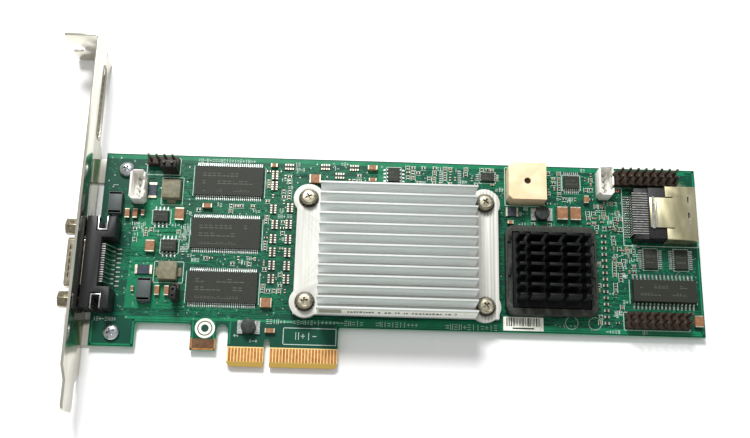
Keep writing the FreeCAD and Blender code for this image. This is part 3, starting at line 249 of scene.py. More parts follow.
def solder_mask(look):
    """The board: green mask, light cut edge and the bare laminate at the card edge."""
    finger_tops, strip_top = 6.1 * MM, 1.45 * MM
    finger_middle, finger_reach = 5.0 * MM, 17.5 * MM
    laminate, bare_strip = (*srgb(240, 212, 146), 1), (*srgb(186, 154, 76), 1)
    made = finish("board green", look.deep_green, 0.34, shine=0.2)
    mask = shade(made, look.deep_green, tuple(0.72 * c for c in look.deep_green), 160.0,
                 near=0.3, far=0.75)
    tree = made.node_tree

    def number(operation, *values):
        node = add(tree, "ShaderNodeMath", enumerate(values), operation=operation)
        return node.outputs[0]

    def mixed(factor, first, second):
        node = add(tree, "ShaderNodeMix", {"Factor": factor, "A": first, "B": second},
                   data_type="RGBA")
        return node.outputs["Result"]

    normal = add(tree, "ShaderNodeNewGeometry").outputs["Normal"]
    upright = add(tree, "ShaderNodeSeparateXYZ", {"Vector": normal}).outputs["Z"]
    cut_edge = number("LESS_THAN", number("ABSOLUTE", upright), 0.3)
    green = mixed(cut_edge, mask, (*look.edge_green, 1))
    place = add(tree, "ShaderNodeSeparateXYZ", {"Vector": object_place(tree)}).outputs
    at_edge = mixed(number("LESS_THAN", place["Y"], strip_top), laminate, bare_strip)
    bare = number("MULTIPLY", number("LESS_THAN", place["Y"], finger_tops),
                  number("COMPARE", place["X"], finger_middle, finger_reach))
    drive_input(made, "Base Color", mixed(bare, green, at_edge))
    grain(made, 1400.0, 0.12)
    return made


# Share of the fins' height from the flanges up, and the tone there, with painted light on the
# fins.
FIN_PAINTED_LIGHT = ((0.01, (198, 198, 191)), (0.03, (252, 253, 252)), (0.45, (246, 249, 247)),
             (0.97, (188, 194, 191)), (0.995, (204, 208, 205)))


def fin_aluminium():
    """Extruded aluminium, plain at the flanges, with painted light on the fins: lighter feet
    against the shade between them, and a painted highlight along their tips.
    """
    made = finish("heatsink aluminium", srgb(213, 217, 214), 0.58, 0.3)
    tooled(made, 0.58, 300.0, (4, 0.1, 1), 0.08)
    tree = made.node_tree
    # Painted light: the fins are lighter at their feet and brighter again just at their tips.
    height = add(tree, "ShaderNodeSeparateXYZ", {"Vector": object_place(tree)})
    span = add(tree, "ShaderNodeMapRange", {
        "Value": height.outputs["Z"], "From Min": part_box("heatsink_lock_washers")[0].z,
        "From Max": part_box("processor_heatsink")[1].z})
    ramp = add(tree, "ShaderNodeValToRGB", {"Fac": span.outputs["Result"]})
    stops = ramp.color_ramp.elements
    stops.remove(stops[1])
    for number, (position, tone) in enumerate(FIN_PAINTED_LIGHT):
        stop = stops.new(position) if number else stops[0]
        stop.position = position
        stop.color = (*srgb(*tone), 1)
    drive_input(made, "Base Color", ramp.outputs["Color"])
    return made


# Metals by the record's slot name or a plain name: title, dark and light tone, roughness, and
# the grain's scale, stretch and relief where they aren't the usual ones.
METALS = {
    "gold": ("finger gold", (172, 112, 64), (198, 138, 84), 0.36, 500.0),
    "bracket_nickel": ("bracket nickel", (198, 195, 181), (238, 235, 222), 0.16, 60.0,
                       (1, 0.3, 1), 0.05),
    "screw_steel": ("screw zinc", (168, 172, 176), (220, 224, 228), 0.28),
    "dull_screw": ("screw nickel", (150, 144, 124), (198, 192, 172), 0.36),
    "shell_steel": ("shell nickel", (168, 160, 138), (206, 198, 176), 0.24),
    "contact_tin": ("contact tin", (156, 156, 152), (208, 208, 204), 0.3),
    "jack_steel": ("jack nickel", (118, 110, 90), (170, 160, 136), 0.3),
    "clip_steel": ("clip tin", (158, 160, 158), (204, 206, 204), 0.28),
    "washer_steel": ("washer steel", (62, 58, 50), (104, 98, 86), 0.5),
    "spacer_steel": ("spacer steel", (150, 150, 146), (196, 196, 190), 0.35),
    "lead_tin": ("lead tin", (168, 174, 170), (222, 226, 222), 0.32),
    "solder": ("solder", (146, 152, 148), (204, 210, 206), 0.3, 1400.0),
    "pin_gold": ("pin gold", (82, 70, 56), (128, 112, 90), 0.34),
    "cage_metal": ("cage nickel", (168, 161, 129), (203, 196, 162), 0.36, 200.0, (1, 0.3, 1)),
    "terminal_tin": ("terminal tin", (172, 166, 146), (214, 208, 190), 0.4),
    "ring_copper": ("ring copper", (176, 110, 86), (216, 152, 126), 0.4),
}

# Plastics, print, fired parts and painted shade: title, dark and light tone, roughness, and the
# grain's scale, its relief and the shine where they aren't the usual ones.
PLASTICS = {
    "print": ("board print", (176, 198, 186), (214, 228, 218), 0.6),
    "port_black": ("port plastic", (22, 22, 24), (44, 44, 46), 0.45),
    "processor_black": ("processor", (22, 24, 24), (40, 42, 42), 0.5),
    "pad_grey": ("thermal pad", (132, 132, 138), (160, 160, 166), 0.8),
    "fin_dark": ("black anodising", (9, 10, 11), (20, 21, 22), 0.5, 700.0, 0.25, 0.15),
    "frame_dark": ("clip frame", (42, 45, 40), (58, 60, 54), 0.55, 900.0),
    "chip_black": ("package", (32, 35, 29), (46, 48, 40), 0.55, 2200.0),
    "chip_print": ("package print", (72, 78, 68), (92, 97, 85), 0.6),
    "buzzer_ivory": ("buzzer plastic", (236, 206, 164), (247, 221, 184), 0.4, 300.0, 0.1),
    # Painted shade in the buzzer's sound hole and in the dimples of the port's shell.
    "hollow_shade": ("dark hole", (40, 32, 26), (60, 48, 38), 0.8),
    "header_ivory": ("header plastic", (246, 243, 234), (252, 251, 245), 0.4, 400.0, 0.1),
    "header_black": ("header plastic dark", (44, 32, 26), (66, 50, 40), 0.5),
    "jumper_black": ("jumper plastic", (24, 22, 22), (42, 40, 38), 0.45),
    "coil_grey": ("ferrite block", (112, 109, 88), (134, 130, 107), 0.55, 900.0, 0.4),
    "drum_black": ("ferrite drum", (34, 40, 38), (56, 62, 58), 0.5, 900.0),
    "tantalum_black": ("tantalum block", (66, 74, 74), (86, 94, 92), 0.45),
    "tantalum_stripe": ("polarity stripe", (140, 138, 136), (164, 162, 160), 0.5),
    "ceramic_brown": ("ceramic", (132, 92, 64), (160, 114, 82), 0.42, 900.0),
    "small_ceramic": ("small ceramic", (112, 92, 74), (150, 124, 100), 0.45),
    "shunt_black": ("resistor glaze", (44, 52, 62), (70, 78, 88), 0.35),
    "resistor_black": ("chip glaze", (34, 36, 38), (58, 60, 62), 0.35),
    "label_paper": ("label paper", (226, 230, 214), (244, 246, 232), 0.7, 900.0, 0.1),
    # Painted shade in the cage leaf's crease, and round the bracket vent's edge and holes.
    "crease": ("crease shade", (96, 90, 66), (120, 112, 84), 0.6),
    "vent_shade": ("vent shade", (70, 60, 34), (104, 92, 58), 0.6),
    "label_ink": ("label ink", (40, 42, 44), (70, 72, 74), 0.6),
    "sticker_green": ("sticker print", (10, 52, 46), (22, 70, 60), 0.6),
    "label_block": ("label block", (150, 152, 132), (168, 170, 150), 0.6),
    "laminate": ("bare laminate", (88, 60, 36), (110, 76, 48), 0.5, 700.0),
}

FINISHES = {}


def make_finishes(look):
    """Every material of the card, by the record's slot name or a plain name."""
    for make, rows in ((metal, METALS), (moulded, PLASTICS)):
        for slot, (title, low, high, *surface) in rows.items():
            FINISHES[slot] = make(title, srgb(*low), srgb(*high), *surface)
    FINISHES["board"] = solder_mask(look)
    FINISHES["copper_mask"] = moulded(
        "mask over copper", tuple(0.8 * c for c in look.copper_green), look.copper_green, 0.3,
        500.0, 0.1)
    FINISHES["heatsink_aluminium"] = fin_aluminium()


def slot_of(node):
    """The record's material slot of a CAD node."""
    return next(part["material_slot"] for part in frame["record"]["subparts"]
                if part["node"] == node)


def paint(thing, name):
    """Gives a thing one finish."""
    thing.data.materials.clear()
    thing.data.materials.append(FINISHES[name])


# ---------------------------------------------------------------- making pieces

def linked(name, data):
    """A new object in the scene."""
    made = bpy.data.objects.new(name, data)
    bpy.context.collection.objects.link(made)
    return made


def piece(name, mesh, look, slot, *replaced):
    """A finished piece that rides with the card and may stand for CAD nodes."""
    made = linked(name, mesh)
    paint(made, look)
    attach(made, "root")
    if replaced:
        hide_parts(*replaced)
    return made


def stored(form, name):
    """Ends a bmesh as a plain mesh."""
    mesh = bpy.data.meshes.new(name)
    form.to_mesh(mesh)
    form.free()
    return mesh


def mesh_of(name, build):
    """A mesh filled by a function that works on a bmesh."""
    form = bmesh.new()
    build(form)
    bmesh.ops.recalc_face_normals(form, faces=form.faces)
    return stored(form, name)


def evaluated(thing):
    """The plain mesh that an object's modifiers give."""
    bpy.context.view_layer.update()
    graph = bpy.context.evaluated_depsgraph_get()
    return bpy.data.meshes.new_from_object(thing.evaluated_get(graph))


def smooth(thing, angle=30.0):
    """Shades a thing smooth, apart from edges over an angle in degrees."""
    for face in thing.data.polygons:
        face.use_smooth = True
    thing.data.set_sharp_from_angle(angle=math.radians(angle))


def softened(node, wide, segments=2, holed=False):
    """A CAD node with its hard edges broken, standing in the node's place."""
    form = bmesh.new()
    form.from_mesh(NODES[node].data)
    bmesh.ops.remove_doubles(form, verts=form.verts, dist=0.002 * MM)
    if not holed:
        bmesh.ops.dissolve_limit(form, angle_limit=math.radians(1.0), verts=form.verts,
                                 edges=form.edges)
    rough = linked(f"{node}_rough", stored(form, f"{node}_form"))
    bevel = rough.modifiers.new("broken edges", "BEVEL")
    bevel.width = wide
    bevel.segments = segments
    bevel.limit_method = "ANGLE"
    bevel.angle_limit = math.radians(35)
    bevel.use_clamp_overlap = True
    mesh = evaluated(rough)
    bpy.data.objects.remove(rough)
    slot = slot_of(node)
    smooth(piece(f"{node}_finish", mesh, slot, slot, node))


# ---------------------------------------------------------------- simple forms

def rectangle(low, high):
    """The corners in plan of a box."""
    return [(low[0], low[1]), (high[0], low[1]), (high[0], high[1]), (low[0], high[1])]


def centred(long, wide):
    """The corners of a rectangle about the origin, long along X."""
    return rectangle((-long / 2, -wide / 2), (long / 2, wide / 2))


def centre_of(box):
    """The middle in plan of a (low, high) box."""
    low, high = box
    return (low.x + high.x) / 2, (low.y + high.y) / 2


def circle(x, y, radius, sides):
    """The corners of a circle about (x, y)."""
    turns = [math.tau * i / sides for i in range(sides)]
    return [(x + math.cos(turn) * radius, y + math.sin(turn) * radius) for turn in turns]


def ring(form, corners, height):
    """Adds an outline's corners at a height."""
    return [form.verts.new((x, y, height)) for x, y in corners]


def band(form, first, second):
    """Joins two rings of as many corners by a band of faces."""
    count = len(first)
    for i in range(count):
        j = (i + 1) % count
        form.faces.new((first[i], first[j], second[j], second[i]))


def lofted(form, rings):
    """Adds a solid through its rings of corners, closed at both ends."""
    form.faces.new(rings[0][::-1])
    form.faces.new(rings[-1])
    for first, second in zip(rings, rings[1:]):
        band(form, first, second)


def prism(form, corners, low, high):
    """Adds an upright solid on an outline of (x, y) corners."""
    lofted(form, [ring(form, corners, low), ring(form, corners, high)])


def brick(form, low, high):
    """Adds a box between two corners."""
    prism(form, rectangle(low, high), low[2], high[2])


def sheet(form, corners):
    """Adds one flat face."""
    form.faces.new([form.verts.new(corner) for corner in corners])


def stroke(form, start, end, wide, height):
    """Adds a flat printed line."""
    start, end = Vector(start), Vector(end)
    tip = (end - start).normalized() * wide / 2
    side = Vector((-tip.y, tip.x))
    sheet(form, [(*corner, height) for corner in (
        start - tip + side, start - tip - side, end + tip - side, end + tip + side)])


def closed_line(form, corners, wide, height):
    """Adds a flat printed line round an outline."""
    for start, end in zip(corners, corners[1:] + corners[:1]):
        stroke(form, start, end, wide, height)


def areas_of(name, outlines, height):
    """A mesh of flat areas, their outlines in millimetres."""
    def build(form):
        for corners in outlines:
            sheet(form, [(x * MM, y * MM, height) for x, y in corners])
    return mesh_of(name, build)


def lines_of(name, lines, wide, height):
    """A mesh of flat lines, each by its two ends in millimetres."""
    def build(form):
        for start_x, start_y, end_x, end_y in lines:
            stroke(form, (start_x * MM, start_y * MM), (end_x * MM, end_y * MM), wide, height)
    return mesh_of(name, build)


# ---------------------------------------------------------------- repeats

def new_tree(name, inputs):
    """A tree with named inputs and one geometry output, and the sockets that carry its inputs."""
    tree = bpy.data.node_groups.new(name, "GeometryNodeTree")
    for title, kind in inputs:
        tree.interface.new_socket(title, in_out="INPUT", socket_type=f"NodeSocket{kind}")
    tree.interface.new_socket("Geometry", in_out="OUTPUT", socket_type="NodeSocketGeometry")
    return tree, add(tree, "NodeGroupInput").outputs


def close_tree(tree, inlet, points, **turn):
    """Stamps the part on the points, and ends in real geometry with its finish."""
    part = add(tree, "GeometryNodeObjectInfo", {"Object": inlet["Part"]})
    stamp = add(tree, "GeometryNodeInstanceOnPoints", {
        "Points": points, "Instance": part.outputs["Geometry"], **turn})
    real = add(tree, "GeometryNodeRealizeInstances", {"Geometry": stamp.outputs["Instances"]})
    dress = add(tree, "GeometryNodeSetMaterial", {
        "Geometry": real.outputs["Geometry"], "Material": inlet["Finish"]})
    add(tree, "NodeGroupOutput", {"Geometry": dress.outputs["Geometry"]})
    return tree


def grid_tree():
    """Repeats a part in columns along X and rows along Y."""
    tree, inlet = new_tree("Rows and columns", [
        ("Part", "Object"), ("Columns", "Int"), ("Column pitch", "Float"), ("Rows", "Int"),
        ("Row pitch", "Float"), ("Finish", "Material")])
    lines = []
    for count, pitch, axis in (("Columns", "Column pitch", "X"), ("Rows", "Row pitch", "Y")):
        step = add(tree, "ShaderNodeCombineXYZ", {axis: inlet[pitch]})
        line = add(tree, "GeometryNodeMeshLine", {
            "Count": inlet[count], "Offset": step.outputs["Vector"]})
        lines.append(line.outputs["Mesh"])
    spread = add(tree, "GeometryNodeInstanceOnPoints", {
        "Points": lines[0], "Instance": lines[1]})
    points = add(tree, "GeometryNodeRealizeInstances", {"Geometry": spread.outputs["Instances"]})
    return close_tree(tree, inlet, points.outputs["Geometry"])


def scatter_tree():
    """Stamps a part on points that carry their own turn about Z."""
    tree, inlet = new_tree("Stamped parts", [
        ("Points", "Geometry"), ("Part", "Object"), ("Finish", "Material")])
    turn = add(tree, "GeometryNodeInputNamedAttribute", {"Name": "turn"}, data_type="FLOAT")
    about = add(tree, "ShaderNodeCombineXYZ", {"Z": turn.outputs["Attribute"]})
    return close_tree(tree, inlet, inlet["Points"], Rotation=about.outputs["Vector"])


TREES = {}


def run_tree(make_tree, start, part, look, **values):
    """Runs a repeat on a part and returns the plain mesh."""
    if make_tree not in TREES:
        TREES[make_tree] = make_tree()
    tree = TREES[make_tree]
    seed, master = linked("repeat", start), linked("part", part)
    modifier = seed.modifiers.new("repeat", "NODES")
    modifier.node_group = tree
    values = {"Part": master, "Finish": FINISHES[look], **values}
    for item in tree.interface.items_tree:
        if item.in_out == "INPUT" and item.name in values:
            modifier[item.identifier] = values[item.name]
    mesh = evaluated(seed)
    bpy.data.objects.remove(seed)
    bpy.data.objects.remove(master)
    return mesh


def grid(part, look, columns, pitch, rows=1, row_pitch=0.0):
    """Repeats a part from the origin in columns and rows."""
    return run_tree(grid_tree, bpy.data.meshes.new("start"), part, look, **{
        "Columns": columns, "Column pitch": pitch, "Rows": rows, "Row pitch": row_pitch})


def scatter(part, look, places):
    """Stamps a part at (x, y, z, turn) places."""
    start = bpy.data.meshes.new("places")
    start.from_pydata([place[:3] for place in places], [], [])
    turns = start.attributes.new("turn", "FLOAT", "POINT")
    turns.data.foreach_set("value", [place[3] for place in places])
    return run_tree(scatter_tree, start, part, look)


def stamped(name, part, look, slot, places, *replaced):
    """A finished piece of one part stamped at (x, y, z, turn) places."""
    return piece(name, scatter(part, look, places), look, slot, *replaced)


def gather(name, parts):
    """Joins (mesh, matrix) pairs into one mesh."""
    form = bmesh.new()
    for mesh, matrix in parts:
        copy = mesh.copy()
        copy.transform(matrix)
        form.from_mesh(copy)
        bpy.data.meshes.remove(copy)
    return stored(form, name)


# ---------------------------------------------------------------- leads

def strip(form, path, thick, wide):
    """Adds a flat strip that follows a path of (out, up) points, centred on X."""
    spots = [Vector(spot) for spot in path]
    rings = []
    for i, here in enumerate(spots):
        before, after = spots[max(i - 1, 0)], spots[min(i + 1, len(spots) - 1)]
        along = (after - before).normalized()
        rise = Vector((-along.y, along.x)) * thick
        if rise.y < 0:
            rise = -rise
        rings.append([form.verts.new((x, spot.x, spot.y))
                      for x, spot in ((-wide / 2, here), (wide / 2, here),
                                      (wide / 2, here + rise), (-wide / 2, here + rise))])
    lofted(form, rings)


def gull_wing(reach, rise, wide):
    """One lead, from a package's side to its pad, reaching along +Y."""
    look = bpy.context.scene.card_leads
    toe = 1 - look.foot
    path = [(-0.05 * reach, rise), (look.shoulder * reach, rise),
            ((look.shoulder + 0.08) * reach, rise * 0.86), ((toe - 0.08) * reach, rise * 0.12),
            (toe * reach, 0.0), (reach, 0.0)]
    return mesh_of("lead", lambda form: strip(form, path, look.thick, wide))


def pad_form(long, wide):
    """A soldered pad with a low rounded fillet, long along Y."""
    def build(form):
        base = ring(form, centred(wide, long), 0.0)
        crown = ring(form, centred(wide * 0.7, long * 0.86), 0.05 * MM)
        form.faces.new(crown)
        band(form, base, crown)
    return mesh_of("pad", build)


def half_across(low, high, along):
    """Half of a box's size across a row of leads that runs along X or Y."""
    return (high.y - low.y) / 2 if along == "X" else (high.x - low.x) / 2


def lead_piece(node, along, count, rows, overhang=0.45 * MM):
    """Replaces a node of straight leads by bent ones, and returns their soldered pads.

    Each of the rows is a package's box of leads, the pitch, a lead's width and half the body."""
    leads, pads = [], []
    for (low, high), pitch, wide, body_side in rows:
        centre = (low + high) / 2
        out = half_across(low, high, along) - body_side
        row = grid(gull_wing(out, 0.5 * MM, wide), "lead_tin", count, pitch)
        pad_row = grid(pad_form(out + overhang, wide * 1.15), "solder", count, pitch)
        start = -(count - 1) * pitch / 2
        reach = body_side + out * 0.55 + overhang / 2
        for turn in ((0.0, math.pi) if along == "X" else (math.pi / 2, -math.pi / 2)):
            matrix = (Matrix.Translation((centre.x, centre.y, TOP))
                      @ Matrix.Rotation(turn, 4, "Z"))
            leads.append((row, matrix @ Matrix.Translation((start, body_side, 0))))
            pads.append((pad_row, matrix @ Matrix.Translation((start, reach, FLAT / 2))))
    piece(f"{node}_bent", gather(node, leads), "lead_tin", slot_of(node), node)
    return pads


# ---------------------------------------------------------------- shared forms

# Sections of a screw head, as shares of its radius and height from the seat up.
DOMED = ((1.0, 0.0), (1.0, 0.3), (0.96, 0.5), (0.84, 0.72), (0.62, 0.88), (0.34, 0.97))
RIMMED = ((1.0, 0.0), (1.0, 0.62), (0.95, 0.84), (0.86, 0.96), (0.78, 1.0), (0.72, 0.9),
          (0.4, 0.94))


def pan_head(across, tall, recess_long, recess_wide, section=DOMED):
    """A screw head with a cross recess, its seat at the origin."""
    sides = 32

    def dome(form):
        rings = [ring(form, circle(0, 0, out * across / 2, sides), up * tall)
                 for out, up in section]
        form.faces.new(rings[0][::-1])
        for low, high in zip(rings, rings[1:]):
            band(form, low, high)
        # The middle of a rimmed head lies a little below its rim.
        crown = form.verts.new((0, 0, tall if section is DOMED else tall * 0.95))
        for i in range(sides):
            form.faces.new((rings[-1][i], rings[-1][(i + 1) % sides], crown))

    def cross(form):
        for long, wide in ((recess_long, recess_wide), (recess_wide, recess_long)):
            lofted(form, [ring(form, centred(long / 2, wide / 2), tall * 0.35),
                          ring(form, centred(long, wide), tall * 1.1)])

    head = linked("head", mesh_of("head", dome))
    tool = linked("tool", mesh_of("tool", cross))
    cut = head.modifiers.new("recess", "BOOLEAN")
    cut.operation = "DIFFERENCE"
    cut.solver = "EXACT"
    cut.use_self = True
    cut.object = tool
    mesh = evaluated(head)
    bpy.data.objects.remove(head)
    bpy.data.objects.remove(tool)
    return mesh


def screw_form(head, foot):
    """A screw: its head on the seat and a plain shank down to its foot."""
    shank_radius = 1.4 * MM
    shank = mesh_of("shank", lambda form: prism(form, circle(0, 0, shank_radius, 24), foot, 0.0))
    return gather("screw", [(head, Matrix.Identity(4)), (shank, Matrix.Identity(4))])


def toothed_ring(across, bore, thick):
    """A toothed lock washer lying at the origin, its teeth twisted up and down."""
    teeth = 36

    def build(form):
        count = teeth * 2
        rings = []
        for height in (0.0, thick):
            outer = []
            for i in range(count):
                angle = math.tau * i / count
                reach = across / 2 if i % 2 else across / 2 * 0.88
                twist = thick * 0.3 * (1 if i % 4 == 1 else -1) if i % 2 else 0.0
                outer.append(form.verts.new((math.cos(angle) * reach, math.sin(angle) * reach,
                                             max(height + twist, 0.0))))
            rings.append((outer, ring(form, circle(0, 0, bore / 2, count), height)))
        (low_out, low_in), (high_out, high_in) = rings
        band(form, low_out, high_out)
        band(form, high_out, high_in)
        band(form, high_in, low_in)
        band(form, low_in, low_out)
    return mesh_of("washer", build)


def square_pin(wide, low, high):
    """A header pin with a pointed tip at each end."""
    tip, point = wide * 0.45, wide * 0.45
    levels = [(low, point), (low + tip, wide), (high - tip, wide), (high, point)]
    return mesh_of("pin", lambda form: lofted(form, [
        ring(form, centred(size, size), height) for height, size in levels]))


def header_cell(step, tall):
    """One cell of a header's block, its corners cut back."""
    half, cut = step / 2, step * 0.14
    corners = [(-half + cut, -half), (half - cut, -half), (half, -half + cut),
               (half, half - cut), (half - cut, half), (-half + cut, half),
               (-half, half - cut), (-half, -half + cut)]
    return mesh_of("cell", lambda form: prism(form, corners, 0.0, tall))


def package_form(low, high):
    """A moulded package with a parting line and drafted sides."""
    tall = high.z - low.z
    levels = ((low.z, tall * 0.1), (low.z + tall * 0.48, 0.0), (high.z, tall * 0.1))
    return mesh_of("package", lambda form: lofted(form, [
        ring(form, rectangle((low.x + inset, low.y + inset), (high.x - inset, high.y - inset)),
             height) for height, inset in levels]))


def loose_boxes(node):
    """The boxes of a CAD node's separate solids, as (low, high) corners."""
    form = bmesh.new()
    form.from_mesh(NODES[node].data)
    bmesh.ops.remove_doubles(form, verts=form.verts, dist=0.001 * MM)
    seen, found = set(), []
    for start in form.verts:
        if start.index in seen:
            continue
        queue, group = [start], []
        seen.add(start.index)
        while queue:
            here = queue.pop()
            group.append(here.co.copy())
            for edge in here.link_edges:
                other = edge.other_vert(here)
                if other.index not in seen:
                    seen.add(other.index)
                    queue.append(other)
        found.append((Vector(map(min, *group)), Vector(map(max, *group))))
    form.free()
    return found


# ---------------------------------------------------------------- board

def taken_boxes():
    """Boxes in plan of all that stands on the board, a little grown."""
    grown = Vector((0.25 * MM, 0.25 * MM, 0))
    boxes = []
    for node in NODES:
        if node in ("circuit_board", "gold_fingers", "mounting_bracket", "processor_heatsink",
                    "pin_fin_heatsink"):
            continue
        for low, high in loose_boxes(node):
            if high.z > TOP + FLAT:
                boxes.append((low - grown, high + grown))
    return boxes + [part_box("processor_heatsink"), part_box("heatsink_clip_frame")]


def free_spot(boxes, x, y, reach):
    """Whether a spot's surroundings are clear of every box."""
    return all(x + reach < low.x or x - reach > high.x or y + reach < low.y
               or y - reach > high.y for low, high in boxes)


# Middles of the board's screw and fixing holes, in millimetres.
BOARD_HOLES = ((-48.6, 9.5), (-48.6, 63.2), (133.9, 63.5))


def on_board(x, y):
    """Whether a spot lies on the board's main field, off its holes, or above the fingers."""
    low, high, margin = BOARD_LOW, BOARD_HIGH, 1.2 * MM
    field_foot, hole_clearance = 14.0 * MM, 3.4 * MM
    if not (low.x + margin < x < high.x - margin and field_foot < y < high.y - margin):
        return 6.6 * MM < y < 12 * MM and (-11 * MM < x < -2 * MM or 2.5 * MM < x < 20 * MM)
    return all(math.hypot(x - hole_x * MM, y - hole_y * MM) > hole_clearance
               for hole_x, hole_y in BOARD_HOLES)


# Fields of the board, in millimetres: low X, low Y, high X, high Y, share that small parts fill.
FIELDS = [
    (-3.0, 21.5, 7.0, 67.5, 0.5), (14.5, 57.4, 73.5, 67.6, 0.42), (72.8, 19.0, 75.0, 50.0, 0.4),
    (75.0, 48.0, 92.0, 55.0, 0.3), (89.0, 55.0, 107.0, 67.5, 0.4), (104.4, 16.0, 113.0, 57.0, 0.5),
    (112.5, 31.0, 119.0, 42.0, 0.45), (-45.0, 39.0, -28.0, 46.0, 0.18),
    (-55.0, 46.0, -28.0, 52.0, 0.1), (-27.0, 49.5, -4.0, 53.0, 0.14),
    (-27.0, 31.8, -4.0, 35.2, 0.14), (100.0, 47.0, 114.0, 57.5, 0.5),
    (-31.0, 26.0, -27.5, 44.0, 0.3),
]

# Size of the smallest chips, the pitch of their places and how far a place may stray.
CHIP_LONG, CHIP_WIDE, CHIP_TALL = 1.15 * MM, 0.6 * MM, 0.38 * MM
PLACE_PITCH, PLACE_STRAY = 1.75, 0.15


def small_places(look):
    """Places of the smallest chips: (x, y, turn), clear of everything else."""
    chance = random.Random(look.seed)
    boxes = taken_boxes()
    inset, end_inset = 0.8, 0.6
    places = []
    for low_x, low_y, high_x, high_y, share in FIELDS:
        x = low_x + inset
        while x < high_x - end_inset:
            y = low_y + inset
            while y < high_y - end_inset:
                spot_x = (x + chance.uniform(-PLACE_STRAY, PLACE_STRAY)) * MM
                spot_y = (y + chance.uniform(-PLACE_STRAY, PLACE_STRAY)) * MM
                if (chance.random() < share and on_board(spot_x, spot_y)
                        and free_spot(boxes, spot_x, spot_y, 0.75 * MM)):
                    turn = math.pi / 2 if chance.random() < 0.6 else 0.0
                    places.append((spot_x, spot_y, turn))
                y += PLACE_PITCH
            x += PLACE_PITCH
    return places


def tracks(look):
    """Copper tracks under the mask: runs with forty-five degree steps."""
    chance = random.Random(look.seed + 1)
    bundles, track_wide = 420, 0.16 * MM

    def build(form):
        for _ in range(bundles):
            x = chance.uniform(BOARD_LOW.x + 2 * MM, BOARD_HIGH.x - 12 * MM)
            y = chance.uniform(15 * MM, BOARD_HIGH.y - 3 * MM)
            step = chance.choice((0.45, 0.6, 0.9)) * MM
            for lane in range(chance.choice((2, 3, 4))):
                here = (x, y + lane * step)
                for _ in range(3):
                    run = chance.uniform(2, 9) * MM
                    drop = chance.choice((-1, 0, 1)) * chance.uniform(0.6, 3.0) * MM
                    for way in ((run, 0.0), (abs(drop), drop)):
                        there = (here[0] + way[0], here[1] + way[1])
                        if way != (0.0, 0.0) and on_board(*there) and on_board(*here):
                            stroke(form, here, there, track_wide, TOP + FLAT * 0.5)
                        here = there
    return mesh_of("tracks", build)


# Copper areas on the component face, in millimetres.
COPPER_AREAS = [
    [(-42.5, 35.0), (-37.0, 35.0), (-37.0, 40.5), (-29.5, 40.5), (-29.5, 52.5), (-33.5, 54.0),
     (-41.0, 54.0), (-43.5, 46.0), (-45.0, 44.0), (-45.0, 36.5)],
    [(-45.5, 17.5), (-31.0, 17.5), (-31.0, 28.0), (-37.5, 28.0), (-37.5, 34.0), (-45.0, 34.0)],
    [(-55.0, 67.2), (135.0, 67.2), (135.0, 68.3), (-55.0, 68.3)],
    [(33.5, 61.5), (37.5, 61.5), (37.5, 67.2), (33.5, 67.2)],
    [(82.0, 48.2), (91.5, 48.2), (91.5, 55.3), (82.0, 55.3)],
    [(107.0, 46.5), (112.5, 52.5), (112.5, 57.0), (109.0, 57.0), (107.0, 55.0)],
    [(-45.0, 14.0), (137.0, 14.0), (137.0, 14.9), (74.0, 14.9), (74.0, 15.8), (24.0, 15.8),
     (24.0, 14.9), (-45.0, 14.9)],
]

# Lines of the copper border that runs just inside the board's edge, in millimetres.
EDGE_LINES = [
    (-55.0, 5.8, -42.1, 5.8), (-42.1, 5.8, -42.1, 13.6), (-42.1, 13.6, -24.6, 13.6),
    (-23.4, 8.6, -23.4, 13.6), (-16.7, 8.6, -16.7, 13.6),
    (-11.7, 7.0, -11.7, 13.6), (21.5, 7.0, 21.5, 13.6), (21.5, 13.6, 138.0, 13.6),
    (137.9, 13.6, 137.9, 68.3), (-55.0, 68.3, 138.0, 68.3), (-54.9, 5.8, -54.9, 13.0),
]

# The bare end of the hook leg and the copper round it, in millimetres.
HOOK_LAMINATE = [(-23.2, 5.4), (-16.5, 5.4), (-16.5, 8.2), (-23.2, 8.2)]
HOOK_BORDER = [(-23.5, 5.05, -16.5, 5.05), (-23.55, 5.05, -23.55, 8.2),
               (-16.3, 5.05, -16.3, 8.2)]
BORDER_WIDE = 0.5 * MM

# Plain marks that stand for print, as strokes over a cell half as wide as it is tall.
MARKS = (
    (((0.25, 0), (0.25, 1)),),
    (((0, 0.25), (0.5, 0.25)), ((0, 0.75), (0.5, 0.75))),
    (((0.05, 0), (0.05, 1)), ((0.45, 0), (0.45, 1))),
    (((0, 0.5), (0.5, 0.5)),),
    (((0.25, 0.2), (0.25, 0.8)), ((0, 0.5), (0.5, 0.5))),
    (((0, 0.05), (0.5, 0.05)), ((0, 0.5), (0.5, 0.5)), ((0, 0.95), (0.5, 0.95))),
)

# Rows of marks at fixed places: x, y, count of marks and their height in millimetres.
MARK_ROWS = (
    (-42, 42.2, 3, 1.1), (-52.5, 57.5, 2, 1.1), (-54.6, 13.2, 8, 1.1), (-0.5, 13.6, 16, 1.3),
    (15.5, 13.6, 12, 1.5), (34, 13.6, 11, 1.5), (56, 13.3, 12, 1.7), (8.8, 8.8, 4, 2.2),
    (-25.5, 66.9, 21, 1.1), (-10.5, 9.0, 2, 1.1), (-5.5, 7.4, 3, 1.1), (107, 13.4, 5, 1.1),
    (118.5, 13.4, 2, 1.1), (-45.5, 44.6, 3, 1.1), (-36, 61.8, 2, 1.1),
)


def tally(form, x, y, count, chance, tall=1.1 * MM):
    """Prints a short row of plain ticks and bars where a part's number would stand."""
    pitch, wide = 0.82, 0.16 * MM
    for i in range(count):
        for mark in chance.choice(MARKS):
            start, end = [(x + (i * pitch + across) * tall, y + up * tall) for across, up in mark]
            stroke(form, start, end, wide, PRINT_HEIGHT)


